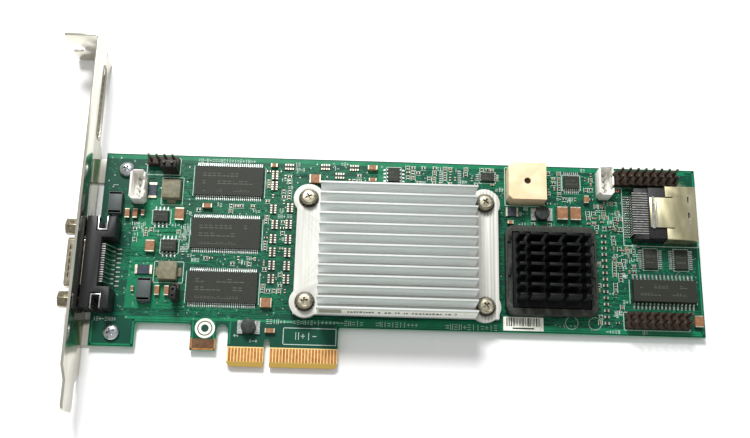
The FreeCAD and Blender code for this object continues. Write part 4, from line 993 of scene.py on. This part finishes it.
def printed_frames():
    """Outlines of the printed rectangles round the larger parts."""
    frames = [(box, 0.5, 0.5) for node in (
        "power_transistors", "driver_chips", "monitor_chips", "power_inductors")
        for box in loose_boxes(node)]
    frames += [(box, 0.3, 0.4) for box in loose_boxes("bus_buffers")]
    frames += [(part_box(node), 0.35, 0.35) for node in (
        "top_pin_header", "bottom_pin_header", "left_pin_header", "buzzer")]
    outlines = [rectangle((low.x - beside * MM, low.y - ahead * MM),
                          (high.x + beside * MM, high.y + ahead * MM))
                for (low, high), beside, ahead in frames]
    low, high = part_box("internal_port_cage")
    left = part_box("internal_port_contacts")[0].x - 0.2 * MM
    outlines.append(rectangle((left, low.y - 0.7 * MM), (high.x + 2.0 * MM, high.y + 1.0 * MM)))
    outlines.append(rectangle((5.0 * MM, 7.2 * MM), (21.5 * MM, 12.4 * MM)))
    for x in (96.0, 103.4):
        outlines.append(circle(x * MM, 16.4 * MM, 2.0 * MM, 24))
    return outlines


def silkscreen(look, places):
    """The board's print: outlines, lines beside parts and rows of plain marks."""
    chance = random.Random(look.seed + 2)
    wide = look.print_wide
    tries, beside, half_long = 620, 0.62 * MM, 0.75 * MM

    def build(form):
        for outline in printed_frames():
            closed_line(form, outline, wide, PRINT_HEIGHT)
        for node, grow in (("memory_chip_1", 0.55), ("memory_chip_2", 0.55),
                           ("memory_chip_3", 0.55), ("flash_chip", 0.5)):
            low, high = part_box(node)
            for x in (low.x - grow * MM, high.x + grow * MM):
                stroke(form, (x, low.y), (x, high.y), wide, PRINT_HEIGHT)
        for x, y, turn in places:
            if chance.random() < 0.65:
                for side in (-beside, beside):
                    if turn:
                        start, end = (x + side, y - half_long), (x + side, y + half_long)
                    else:
                        start, end = (x - half_long, y + side), (x + half_long, y + side)
                    stroke(form, start, end, wide * 0.8, PRINT_HEIGHT)
        boxes = taken_boxes()
        for _ in range(tries):
            low_x, low_y, high_x, high_y, share = chance.choice(FIELDS)
            if chance.random() > share * 2:
                continue
            x = chance.uniform(low_x, high_x) * MM
            y = chance.uniform(low_y, high_y) * MM
            if not on_board(x, y) or not free_spot(boxes, x + 0.8 * MM, y + 0.5 * MM, 0.9 * MM):
                continue
            if any(abs(x + 0.7 * MM - px) < 1.3 * MM and abs(y + 0.5 * MM - py) < 1.0 * MM
                   for px, py, _ in places):
                continue
            tally(form, x, y, chance.choice((2, 2, 3)), chance)
        for x, y, count, tall in MARK_ROWS:
            tally(form, x * MM, y * MM, count, chance, tall * MM)
    return mesh_of("print", build)


def via_form(across):
    """A flat ring round a plated hole."""
    return mesh_of("via", lambda form: band(
        form, ring(form, circle(0, 0, across / 4, 8), 0.0),
        ring(form, circle(0, 0, across / 2, 8), 0.0)))


def chip_ends(long, wide, tall):
    """The two metal ends of a small chip."""
    def build(form):
        for low, high in ((-long / 2, -long * 0.3), (long * 0.3, long / 2)):
            brick(form, (low, -wide / 2, 0.0), (high, wide / 2, tall))
    return mesh_of("ends", build)


def chip_core(long, wide, tall):
    """The body of a small chip, a little inside its ends."""
    return mesh_of("core", lambda form: prism(
        form, centred(long * 0.64, wide * 0.96), 0.0, tall * 0.94))


def via_places(chance, places, count=640):
    """Spots of the plated holes, clear of every part."""
    boxes = taken_boxes()
    ring_clearance, chip_clearance = 0.35 * MM, 0.9 * MM
    vias = []
    while len(vias) < count:
        x = chance.uniform(BOARD_LOW.x, BOARD_HIGH.x)
        y = chance.uniform(14 * MM, BOARD_HIGH.y)
        if on_board(x, y) and free_spot(boxes, x, y, ring_clearance) and all(
                abs(x - chip_x) > chip_clearance or abs(y - chip_y) > chip_clearance
                for chip_x, chip_y, _ in places):
            vias.append((x, y, TOP + 1.5 * FLAT, 0.0))
    return vias


class CARD_OT_board(bpy.types.Operator):
    """Finish the circuit board: mask, copper, tracks, plated holes, print and smallest chips"""
    bl_idname = "card.board"
    bl_label = "Circuit board"

    def execute(self, context):
        look = context.scene.card_board
        paint(NODES["circuit_board"], "board")
        paint(NODES["gold_fingers"], "gold")
        piece("mask_over_copper", areas_of("copper", COPPER_AREAS, TOP + FLAT * 0.3),
              "copper_mask", "board")
        piece("copper_tracks", tracks(look), "copper_mask", "board")
        places = small_places(look)
        piece("board_print", silkscreen(look, places), "print", "board")
        piece("hook_laminate", areas_of("laminate", [HOOK_LAMINATE], TOP + FLAT), "laminate",
              "board")
        piece("hook_border", lines_of("border", HOOK_BORDER, BORDER_WIDE, TOP + FLAT), "gold",
              "gold")
        piece("edge_copper", lines_of("edge", EDGE_LINES, BORDER_WIDE, TOP + FLAT * 0.4),
              "copper_mask", "board")
        for name, x in (("bare_footprint", 54.3), ("bare_footprint_two", 60.4)):
            pads = grid(pad_form(1.3 * MM, 0.34 * MM), "solder", 8, 0.65 * MM)
            pads.transform(Matrix.Translation((x * MM, 61.6 * MM, TOP + FLAT))
                           @ Matrix.Rotation(math.pi / 2, 4, "Z"))
            piece(name, pads, "solder", "lead_tin")
        stamped("ring_pads", via_form(1.3 * MM), "ring_copper", "lead_tin", [
            (x * MM, y * MM, TOP + FLAT, 0.0) for x, y in ((112.6, 61.2), (114.7, 41.4))])
        chance = random.Random(look.seed + 3)
        spots = [(x, y, TOP, turn) for x, y, turn in places]
        stamped("smallest_chip_ends", chip_ends(CHIP_LONG, CHIP_WIDE, CHIP_TALL),
                "terminal_tin", "terminal_tin", spots)
        cut = len(spots) * 3 // 5
        chance.shuffle(spots)
        stamped("smallest_resistors", chip_core(CHIP_LONG, CHIP_WIDE, CHIP_TALL),
                "resistor_black", "resistor_black", spots[:cut])
        stamped("smallest_capacitors", chip_core(CHIP_LONG, CHIP_WIDE, CHIP_TALL * 1.3),
                "small_ceramic", "ceramic_brown", spots[cut:])
        vias = via_places(chance, places)
        bright = len(vias) // 3
        stamped("plated_holes", via_form(look.via_across * 0.7), "solder", "lead_tin",
                vias[:bright])
        stamped("covered_holes", via_form(look.via_across), "copper_mask", "board",
                vias[bright:])
        return {"FINISHED"}


# ---------------------------------------------------------------- metalwork and heatsinks

# The vent in the bracket: its plate's inner face, its middle, and the rows of its holes.
VENT_FACE, VENT_MIDDLE, VENT_RISE = -57.9 * MM, 84.6 * MM, 5.955 * MM
VENT_EMBOSSED, VENT_PITCH, VENT_SHIFT, VENT_ROW = 0.4, 2.2, 0.55, 0.95


def plate_ring(form, x, y, z, half, low, high, sides=16):
    """A flat ring that faces X: round, or long along Y by a straight run of twice half."""
    turns = [math.tau * (i + 0.5) / sides for i in range(sides)]
    inner, outer = [[form.verts.new((
        x, y + math.copysign(half, math.cos(turn)) + math.cos(turn) * reach,
        z + math.sin(turn) * reach)) for turn in turns] for reach in (low, high)]
    band(form, inner, outer)


def vent_rims(form):
    """Painted shade: dark rings round the two rows of vent holes, on the embossed face."""
    for row in (-1, 1):
        for i in range(10):
            along = (VENT_PITCH * (i - 4.5) + VENT_SHIFT * row) * MM
            plate_ring(form, VENT_FACE - VENT_EMBOSSED * MM + FLAT, VENT_MIDDLE + along,
                       VENT_RISE + VENT_ROW * row * MM, 0.0, 0.87 * MM, 1.07 * MM)


class CARD_OT_metalwork(bpy.types.Operator):
    """Finish the bracket, its screws, the clips and the jack sockets"""
    bl_idname = "card.metalwork"
    bl_label = "Bracket and metalwork"

    def execute(self, context):
        softened("mounting_bracket", 0.12 * MM, holed=True)
        # Painted shade along the edge of the vent's embossed face and round its holes.
        piece("vent_outline", mesh_of("outline", lambda form: plate_ring(
            form, VENT_FACE + FLAT, VENT_MIDDLE, VENT_RISE, 10.55 * MM, 2.35 * MM, 2.65 * MM,
            32)), "vent_shade", "bracket_nickel")
        piece("vent_rims", mesh_of("hole_shade", vent_rims), "vent_shade", "bracket_nickel")
        softened("external_port_shell", 0.12 * MM, holed=True)
        softened("external_port_jack_sockets", 0.15 * MM)
        softened("external_port_clips", 0.06 * MM)
        heads = [(*centre_of(box), TOP, turn)
                 for box, turn in zip(loose_boxes("bracket_screws"), (0.4, 1.1))]
        low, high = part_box("bracket_screws")
        head = pan_head(high.x - low.x, high.z - TOP, 3.0 * MM, 0.75 * MM)
        smooth(stamped("bracket_screw_finish", screw_form(head, low.z - TOP), "screw_steel",
                       "screw_steel", heads, "bracket_screws"))
        return {"FINISHED"}


class CARD_OT_heatsink(bpy.types.Operator):
    """Finish the processor's heatsink, its screws, toothed washers and spacers"""
    bl_idname = "card.heatsink"
    bl_label = "Processor heatsink"

    def execute(self, context):
        softened("processor_heatsink", 0.08 * MM, holed=True)
        washers = loose_boxes("heatsink_lock_washers")
        spots = [(*centre_of(box), box[0].z, 0.3 * i) for i, box in enumerate(washers)]
        low, high = washers[0]
        seat = high.z
        stamped("lock_washer_finish", toothed_ring(high.x - low.x, 3.1 * MM, seat - low.z),
                "washer_steel", "washer_steel", spots, "heatsink_lock_washers")
        low, high = loose_boxes("heatsink_screws")[0]
        head = pan_head(5.1 * MM, high.z - seat, 2.5 * MM, 0.6 * MM, RIMMED)
        smooth(stamped("heatsink_screw_finish", screw_form(head, low.z - seat), "dull_screw",
                       "screw_steel", [(x, y, seat, turn + 0.1) for x, y, z, turn in spots],
                       "heatsink_screws"))
        for node, look in (("heatsink_spacers", "spacer_steel"),
                           ("raid_processor", "processor_black"), ("thermal_pad", "pad_grey"),
                           ("io_controller", "chip_black")):
            paint(NODES[node], look)
        softened("pin_fin_heatsink", 0.1 * MM)
        softened("heatsink_clip_frame", 0.25 * MM, 3, holed=True)
        return {"FINISHED"}


# ---------------------------------------------------------------- packages

# Small packages: bodies, leads, how their rows run, leads a row, then a lead's pitch and width
# in millimetres. The driver chips come in two sizes, told by their span.
PACKAGES = (("bus_buffers", "bus_buffer_leads", "Y", 10, 0.65, 0.28),
            ("monitor_chips", "monitor_chip_leads", "X", 8, 0.65, 0.28),
            ("power_transistors", "power_transistor_leads", "X", 4, 1.27, 0.45),
            ("driver_chips", "driver_chip_leads", "Y", 4, None, None))


def lead_rows(bodies, leads, along, pitch, wide):
    """A row of leads for each of a node's packages, as lead_piece takes them."""
    solids, tips = loose_boxes(bodies), loose_boxes(leads)
    reach, large_span = 4.2 * MM, 3 * MM
    rows = []
    for solid in solids:
        near = [tip for tip in tips if all(
            abs(a - b) < reach for a, b in zip(centre_of(tip), centre_of(solid)))]
        low = Vector(map(min, *(tip[0] for tip in near)))
        high = Vector(map(max, *(tip[1] for tip in near)))
        if pitch:
            row = (pitch * MM, wide * MM, half_across(*solids[0], along))
        elif high.y - low.y > large_span:
            row = (1.27 * MM, 0.45 * MM, 1.95 * MM)
        else:
            row = (0.65 * MM, 0.28 * MM, 2.2 * MM)
        rows.append(((low, high), *row))
    return rows


class CARD_OT_packages(bpy.types.Operator):
    """Make the moulded packages and their bent leads on soldered pads"""
    bl_idname = "card.packages"
    bl_label = "Chips and leads"

    def execute(self, context):
        pads = []
        for number in (1, 2, 3):
            chip, leads = f"memory_chip_{number}", f"memory_leads_{number}"
            low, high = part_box(chip)
            row = (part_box(leads), 0.65 * MM, 0.32 * MM, (high.y - low.y) / 2)
            pads += lead_piece(leads, "X", 33, [row], 0.3 * MM)
            piece(f"memory_package_{number}", package_form(low, high), "chip_black",
                  "chip_black", chip)
        low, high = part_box("flash_chip")
        row = (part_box("flash_leads"), 1.27 * MM, 0.45 * MM, (high.y - low.y) / 2)
        pads += lead_piece("flash_leads", "X", 16, [row])
        piece("flash_package", package_form(low, high), "chip_black", "chip_black", "flash_chip")
        for bodies, leads, along, count, pitch, wide in PACKAGES:
            pads += lead_piece(leads, along, count, lead_rows(bodies, leads, along, pitch, wide),
                               0.35 * MM)
            packages = [(package_form(low, high), Matrix.Identity(4))
                        for low, high in loose_boxes(bodies)]
            piece(f"{bodies}_moulded", gather(bodies, packages), "chip_black", slot_of(bodies),
                  bodies)
        piece("soldered_pads", gather("pads", pads), "solder", "lead_tin")
        piece("package_print", package_print(), "chip_print", "chip_black")
        return {"FINISHED"}


def chip_dashes(form, low, high, rows, chance):
    """Prints rows of short plain bars on a package's top."""
    long, wide, height = high.x - low.x, high.y - low.y, high.z + FLAT
    for share, size in rows:
        x, y = low.x + long * 0.12, low.y + wide * share
        over, gap, word_gap = y + 0.55 * MM * size, 0.45 * MM * size, 3.5 * MM
        while x < high.x - long * 0.2:
            run = chance.uniform(0.35, 0.9) * MM * size
            stroke(form, (x, y), (x + run, y), 0.22 * MM * size, height)
            if chance.random() < 0.7:
                stroke(form, (x, over), (x + run * 0.8, over), 0.2 * MM * size, height)
            x += run + gap + (word_gap if chance.random() < 0.12 else 0)


def package_print():
    """Plain bars on the packages, rows as (share of the width, size)."""
    chance = random.Random(11)

    def build(form):
        for number in (1, 2, 3):
            chip_dashes(form, *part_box(f"memory_chip_{number}"),
                        ((0.66, 1.5), (0.4, 1.5), (0.14, 0.9)), chance)
        chip_dashes(form, *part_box("flash_chip"), ((0.62, 1.1), (0.3, 1.0)), chance)
        for node in ("bus_buffers", "monitor_chips", "power_transistors", "driver_chips"):
            for low, high in loose_boxes(node):
                chip_dashes(form, low, high, ((0.6, 0.7), (0.3, 0.7)), chance)
    return mesh_of("package_print", build)


# ---------------------------------------------------------------- ports

def leaf_roll(form, x, middle, top):
    """The rolled end of the cage's sprung leaf: half a tube along Y."""
    radius, half, steps = 0.45 * MM, 5 * MM, 8
    rings = []
    for i in range(steps + 1):
        turn = math.pi / 2 + math.pi * i / steps
        rings.append([form.verts.new((x + math.cos(turn) * radius, middle + side * half,
                                      top - radius + math.sin(turn) * radius))
                      for side in (-1, 1)])
    for first, second in zip(rings, rings[1:]):
        form.faces.new((first[0], first[1], second[1], second[0]))


class CARD_OT_ports(bpy.types.Operator):
    """Finish the external and the internal port"""
    bl_idname = "card.ports"
    bl_label = "Ports"

    def execute(self, context):
        softened("external_port_housing", 0.15 * MM, holed=True)
        softened("external_port_tongue", 0.1 * MM)
        softened("internal_port_cage", 0.05 * MM, holed=True)
        softened("internal_port_housing", 0.1 * MM)
        for node in ("external_port_contacts", "internal_port_contacts"):
            paint(NODES[node], "contact_tin")
        low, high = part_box("internal_port_cage")
        middle = centre_of((low, high))[1]
        smooth(piece("leaf_roll", mesh_of("roll", lambda form: leaf_roll(
            form, low.x + 0.5 * MM, middle, high.z - FLAT)), "clip_steel", "cage_metal"), 60)
        # Painted highlights along the cage's creases and on its leaf, and a painted shade line in
        # the leaf's crease.
        for name, x, reach, wide, look in (
                ("crease_bright", high.x - 2.3 * MM, 7.0, 0.22, "clip_steel"),
                ("crease_bright_two", high.x - 3.1 * MM, 6.2, 0.14, "clip_steel"),
                ("leaf_shine", low.x + 1.0 * MM, 4.9, 0.9, "clip_steel"),
                ("leaf_crease", low.x + 1.62 * MM, 4.9, 0.2, "crease"),
                ("leaf_shine_two", low.x + 2.1 * MM, 4.9, 0.35, "clip_steel")):
            start, end = (x, middle - reach * MM), (x, middle + reach * MM)
            piece(name, mesh_of(name, lambda form: stroke(
                form, start, end, wide * MM, high.z + FLAT / 4)), look, "cage_metal")
        # Painted shade in the five dimples along the shell's top.
        low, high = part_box("external_port_shell")
        marks = [(low.x + 1.1 * MM, low.y + (high.y - low.y) * (i + 1.5) / 7, high.z + FLAT / 2,
                  0.0) for i in range(5)]
        mark = mesh_of("mark", lambda form: stroke(form, (0, -0.55 * MM), (0, 0.55 * MM),
                                                   0.4 * MM, 0.0))
        stamped("shell_marks", mark, "hollow_shade", "shell_steel", marks)
        return {"FINISHED"}


# ---------------------------------------------------------------- headers

class CARD_OT_headers(bpy.types.Operator):
    """Make the pin headers, jumper caps and cable headers"""
    bl_idname = "card.headers"
    bl_label = "Headers"

    def execute(self, context):
        for name in ("top", "bottom"):
            block, pins = f"{name}_pin_header", f"{name}_pin_header_pins"
            low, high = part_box(block)
            step = (high.y - low.y) / 2
            start = Matrix.Translation((low.x + step / 2, low.y + step / 2, TOP))
            cells = grid(header_cell(step * 0.995, high.z - TOP), "header_black", 8, step, 2,
                         step)
            cells.transform(start)
            piece(f"{name}_header_block", cells, "header_black", "header_black", block)
            low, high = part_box(pins)
            field = grid(square_pin(0.64 * MM, low.z - TOP, high.z - TOP), "pin_gold", 8, step,
                         2, step)
            field.transform(start)
            piece(f"{name}_header_pins", field, "pin_gold", "pin_gold", pins)
        softened("left_pin_header", 0.1 * MM, holed=True)
        softened("three_pin_header", 0.1 * MM, holed=True)
        softened("jumper_caps", 0.15 * MM, holed=True)
        for node in ("left_pin_header_pins", "three_pin_header_pins", "left_cable_header_pins",
                     "right_cable_header_pins"):
            solids = loose_boxes(node)
            low, high = solids[0]
            look = slot_of(node)
            stamped(f"{node}_pointed", square_pin(high.x - low.x, low.z - TOP, high.z - TOP),
                    look, look, [(*centre_of(box), TOP, 0.0) for box in solids], node)
        for side in ("left", "right"):
            softened(f"{side}_cable_header", 0.15 * MM, holed=True)
        return {"FINISHED"}


# ---------------------------------------------------------------- small parts

def end_caps(boxes, share, grow, along=None, wide_share=1.0):
    """Metal caps over both ends of each part that lies in a box."""
    def build(form):
        for low, high in boxes:
            skin = Vector((grow, grow, 0))
            near, far = low - skin, high + skin + Vector((0, 0, grow))
            long_x = high.x - low.x >= high.y - low.y if along is None else along == "X"
            run, side = (0, 1) if long_x else (1, 0)
            reach = (far[run] - near[run]) * share
            middle, half = (near + far) / 2, (far - near) / 2 * wide_share
            for start in (near[run], far[run] - reach):
                a, b = near.copy(), far.copy()
                a[run], b[run] = start, start + reach
                a[side], b[side] = middle[side] - half[side], middle[side] + half[side]
                brick(form, a, b)
    return mesh_of("caps", build)


def array_ends(boxes):
    """Four metal ends along both long sides of each resistor array."""
    def build(form):
        for low, high in boxes:
            run, side = (0, 1) if high.x - low.x > high.y - low.y else (1, 0)
            step = (high[run] - low[run]) / 4
            for i in range(4):
                for edge in (low[side] - 0.18 * MM, high[side] - 0.42 * MM):
                    a, b = low.copy(), high.copy()
                    a[run] = low[run] + step * (i + 0.22)
                    b[run] = a[run] + step * 0.56
                    a[side], b[side] = edge, edge + 0.6 * MM
                    b.z += 1.5 * FLAT
                    brick(form, a, b)
    return mesh_of("array_ends", build)


def sticker_mark(form, box):
    """A ring and a disc on the round sticker."""
    ring_radius, ring_wide, disc_radius = 2.2 * MM, 0.3 * MM, 1.2 * MM
    height = box[1].z + FLAT / 2
    closed_line(form, circle(*centre_of(box), ring_radius, 32), ring_wide, height)
    sheet(form, [(*spot, height) for spot in circle(*centre_of(box), disc_radius, 24)])


def tag_bars(form, box, chance):
    """Bars of unequal width on the tag, over a row of short dashes."""
    low, high = box
    height = high.z + FLAT / 2
    at = low.x + 1.0 * MM
    while at < high.x - 1.2 * MM:
        wide = chance.choice((0.16, 0.26, 0.4)) * MM
        middle = at + wide / 2
        stroke(form, (middle, low.y + 1.6 * MM), (middle, high.y - 0.45 * MM), wide, height)
        at += wide + chance.choice((0.18, 0.3, 0.42)) * MM
    y = low.y + 0.75 * MM
    for i in range(9):
        at = low.x + (3.2 + 0.75 * i) * MM
        stroke(form, (at, y), (at + 0.3 * MM, y), 0.5 * MM, height)


def label_face(form, box, left, right, foot, head):
    """A flat patch on the front label, which faces the card's fingers."""
    y = box[0].y - FLAT / 2
    sheet(form, [(x, y, z) for x, z in rectangle((left, foot), (right, head))])


def label_dashes(form, box, chance):
    """A row of plain upright bars along the front label."""
    low, high = box
    at = low.x + 9.0 * MM
    while at < high.x - 6.0 * MM:
        wide = chance.uniform(0.4, 0.9) * MM
        foot = low.z + chance.uniform(1.0, 1.6) * MM
        label_face(form, box, at, at + wide, foot, foot + 1.9 * MM)
        at += wide + chance.choice((0.3, 0.3, 0.4, 1.3)) * MM


class CARD_OT_small_parts(bpy.types.Operator):
    """Finish the buzzer, inductors, capacitors, resistors and labels"""
    bl_idname = "card.small_parts"
    bl_label = "Small parts"

    def execute(self, context):
        softened("buzzer", 0.35 * MM, 3, holed=True)
        for node, wide, segments in (
                ("power_inductors", 0.25, 2), ("round_inductors", 0.2, 2),
                ("tantalum_capacitors", 0.15, 2), ("ceramic_capacitors", 0.05, 1),
                ("ceramic_terminals", 0.06, 1), ("sense_resistors", 0.06, 1),
                ("chip_resistors", 0.05, 1)):
            softened(node, wide * MM, segments)
        arrays, singles = [], []
        for low, high in loose_boxes("chip_resistors"):
            long = max(high.x - low.x, high.y - low.y)
            (arrays if long > 2.4 * MM else singles).append((low, high))
        piece("array_ends", array_ends(arrays), "terminal_tin", "terminal_tin")
        piece("chip_end_caps", end_caps(singles, 0.26, 0.02 * MM), "terminal_tin",
              "terminal_tin")
        piece("sense_end_caps", end_caps(loose_boxes("sense_resistors"), 0.14, 0.03 * MM),
              "terminal_tin", "terminal_tin")
        drums = [(low, Vector((high.x, high.y, low.z + 0.62 * MM)))
                 for low, high in loose_boxes("round_inductors")]
        piece("drum_pads", end_caps(drums, 0.24, 0.05 * MM, "X", 0.9), "solder", "lead_tin")
        stripes = [(Vector((low.x + 0.1 * MM, low.y + 0.8 * MM, high.z - 0.2 * MM)),
                    Vector((high.x - 0.1 * MM, high.y - 0.6 * MM, high.z)))
                   for low, high in loose_boxes("tantalum_capacitors")]
        piece("tantalum_stripes", end_caps(stripes, 0.1, 0.0, "Y"), "tantalum_stripe",
              "tantalum_black")
        # Painted shade: a dark plug set into the buzzer's sound hole.
        hole = circle(*centre_of(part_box("buzzer")), 0.95 * MM, 24)
        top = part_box("buzzer")[1].z
        piece("sound_hole", mesh_of("hole", lambda form: prism(
            form, hole, top - 2.0 * MM, top - 0.9 * MM)), "hollow_shade", "buzzer_ivory")
        paint(NODES["labels"], "label_paper")
        sticker, front, tag = sorted(loose_boxes("labels"), key=lambda box: box[1].x)
        chance = random.Random(5)
        piece("sticker_mark", mesh_of("mark", lambda form: sticker_mark(form, sticker)),
              "sticker_green", "label_paper")
        piece("tag_bars", mesh_of("bars", lambda form: tag_bars(form, tag, chance)),
              "label_ink", "label_paper")
        low, high = front
        piece("front_label_block", mesh_of("block", lambda form: label_face(
            form, front, low.x + 0.2 * MM, low.x + 7.2 * MM, low.z + 0.2 * MM,
            high.z - 0.2 * MM)), "label_block", "label_paper")
        piece("front_label_dashes", mesh_of("dashes", lambda form: label_dashes(
            form, front, chance)), "label_ink", "label_paper")
        return {"FINISHED"}


# ---------------------------------------------------------------- stage

# In metres: the floor's side, and the light's width, its place and what it faces.
FLOOR_ACROSS = 6.0
KEY_ACROSS, KEY_PLACE, KEY_AIM = 0.32, (-0.13, 0.64, 0.75), (0.04, 0.04, 0.0)


def soft_light(name, power, size, place, aim):
    """A round soft light that faces its aim."""
    lamp = bpy.data.lights.new(name, "AREA")
    lamp.energy = power
    lamp.shape = "DISK"
    lamp.size = size
    thing = linked(name, lamp)
    thing.location = place
    thing.rotation_mode = "QUATERNION"
    thing.rotation_quaternion = (Vector(aim) - Vector(place)).to_track_quat("-Z", "Y")


def floor_finish():
    """A pale matt floor that keeps its shadows and reads as white to the camera."""
    made = finish("pale floor", (0.88, 0.88, 0.88), 0.9)
    tree = made.node_tree
    rays = add(tree, "ShaderNodeLightPath")
    white = add(tree, "ShaderNodeBsdfDiffuse", {"Color": (1.0, 1.0, 1.0, 1)})
    choose = add(tree, "ShaderNodeMixShader", {
        "Fac": rays.outputs["Is Camera Ray"], 1: shader_of(made).outputs["BSDF"],
        2: white.outputs["BSDF"]})
    tree.links.new(choose.outputs["Shader"], tree.nodes["Material Output"].inputs["Surface"])
    return made


def place_camera(scene, look):
    """Sets the camera by its angles, its tilt and its distance from the aim."""
    back = Vector((math.sin(look.azimuth) * math.cos(look.elevation),
                   -math.cos(look.azimuth) * math.cos(look.elevation),
                   math.sin(look.elevation)))
    right = (-back).cross(Vector((0, 0, 1))).normalized()
    up = right.cross(-back)
    across = right * math.cos(look.roll) + up * math.sin(look.roll)
    above = up * math.cos(look.roll) - right * math.sin(look.roll)
    lens = bpy.data.cameras.new("camera")
    lens.lens = look.lens
    lens.sensor_width = 36.0
    lens.clip_start = 0.01
    lens.clip_end = 20.0
    camera = linked("camera", lens)
    place = Vector(look.aim) + back * look.distance
    camera.matrix_world = Matrix((
        (across.x, above.x, back.x, place.x), (across.y, above.y, back.y, place.y),
        (across.z, above.z, back.z, place.z), (0, 0, 0, 1)))
    scene.camera = camera


class CARD_OT_stage(bpy.types.Operator):
    """Set the camera, the soft light and the pale floor"""
    bl_idname = "card.stage"
    bl_label = "Stage"

    def execute(self, context):
        scene = context.scene
        look = scene.card_stage
        place_camera(scene, look)
        low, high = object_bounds()
        floor = linked("floor", mesh_of("floor", lambda form: sheet(form, [
            (x, y, low.z - FLAT) for x, y in centred(FLOOR_ACROSS, FLOOR_ACROSS)])))
        floor.data.materials.append(floor_finish())
        floor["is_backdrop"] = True
        soft_light("key", look.key_power, KEY_ACROSS, KEY_PLACE, KEY_AIM)
        world = bpy.data.worlds.new("studio")
        world.use_nodes = True
        background = world.node_tree.nodes["Background"].inputs
        background["Color"].default_value = (1, 1, 1, 1)
        background["Strength"].default_value = look.fill
        scene.world = world
        scene.view_settings.view_transform = "Standard"
        return {"FINISHED"}


class CARD_PT_panel(bpy.types.Panel):
    """Lists the card's settings and its pieces"""
    bl_idname = "CARD_PT_panel"
    bl_label = "Raid controller card"
    bl_space_type = "VIEW_3D"
    bl_region_type = "UI"
    bl_category = "Card"

    def draw(self, context):
        layout = self.layout
        scene = context.scene
        for group in (scene.card_board, scene.card_leads, scene.card_stage):
            box = layout.box()
            for name in group.bl_rna.properties.keys():
                if name not in ("rna_type", "name"):
                    box.prop(group, name)
        for step in STEPS:
            layout.operator(step.bl_idname)


LOOKS = {"card_board": BoardLook, "card_leads": LeadLook, "card_stage": StageLook}
STEPS = (CARD_OT_board, CARD_OT_metalwork, CARD_OT_heatsink, CARD_OT_packages, CARD_OT_ports,
         CARD_OT_headers, CARD_OT_small_parts, CARD_OT_stage)


def register():
    for made in (*LOOKS.values(), *STEPS, CARD_PT_panel):
        bpy.utils.register_class(made)
    for name, made in LOOKS.items():
        setattr(bpy.types.Scene, name, bpy.props.PointerProperty(type=made))


def unregister():
    for name in LOOKS:
        delattr(bpy.types.Scene, name)
    for made in reversed((*LOOKS.values(), *STEPS, CARD_PT_panel)):
        bpy.utils.unregister_class(made)


def main():
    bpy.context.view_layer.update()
    register()
    make_finishes(bpy.context.scene.card_board)
    for step in STEPS:
        group, name = step.bl_idname.split(".")
        getattr(getattr(bpy.ops, group), name)()


if __name__ == "__main__":
    main()
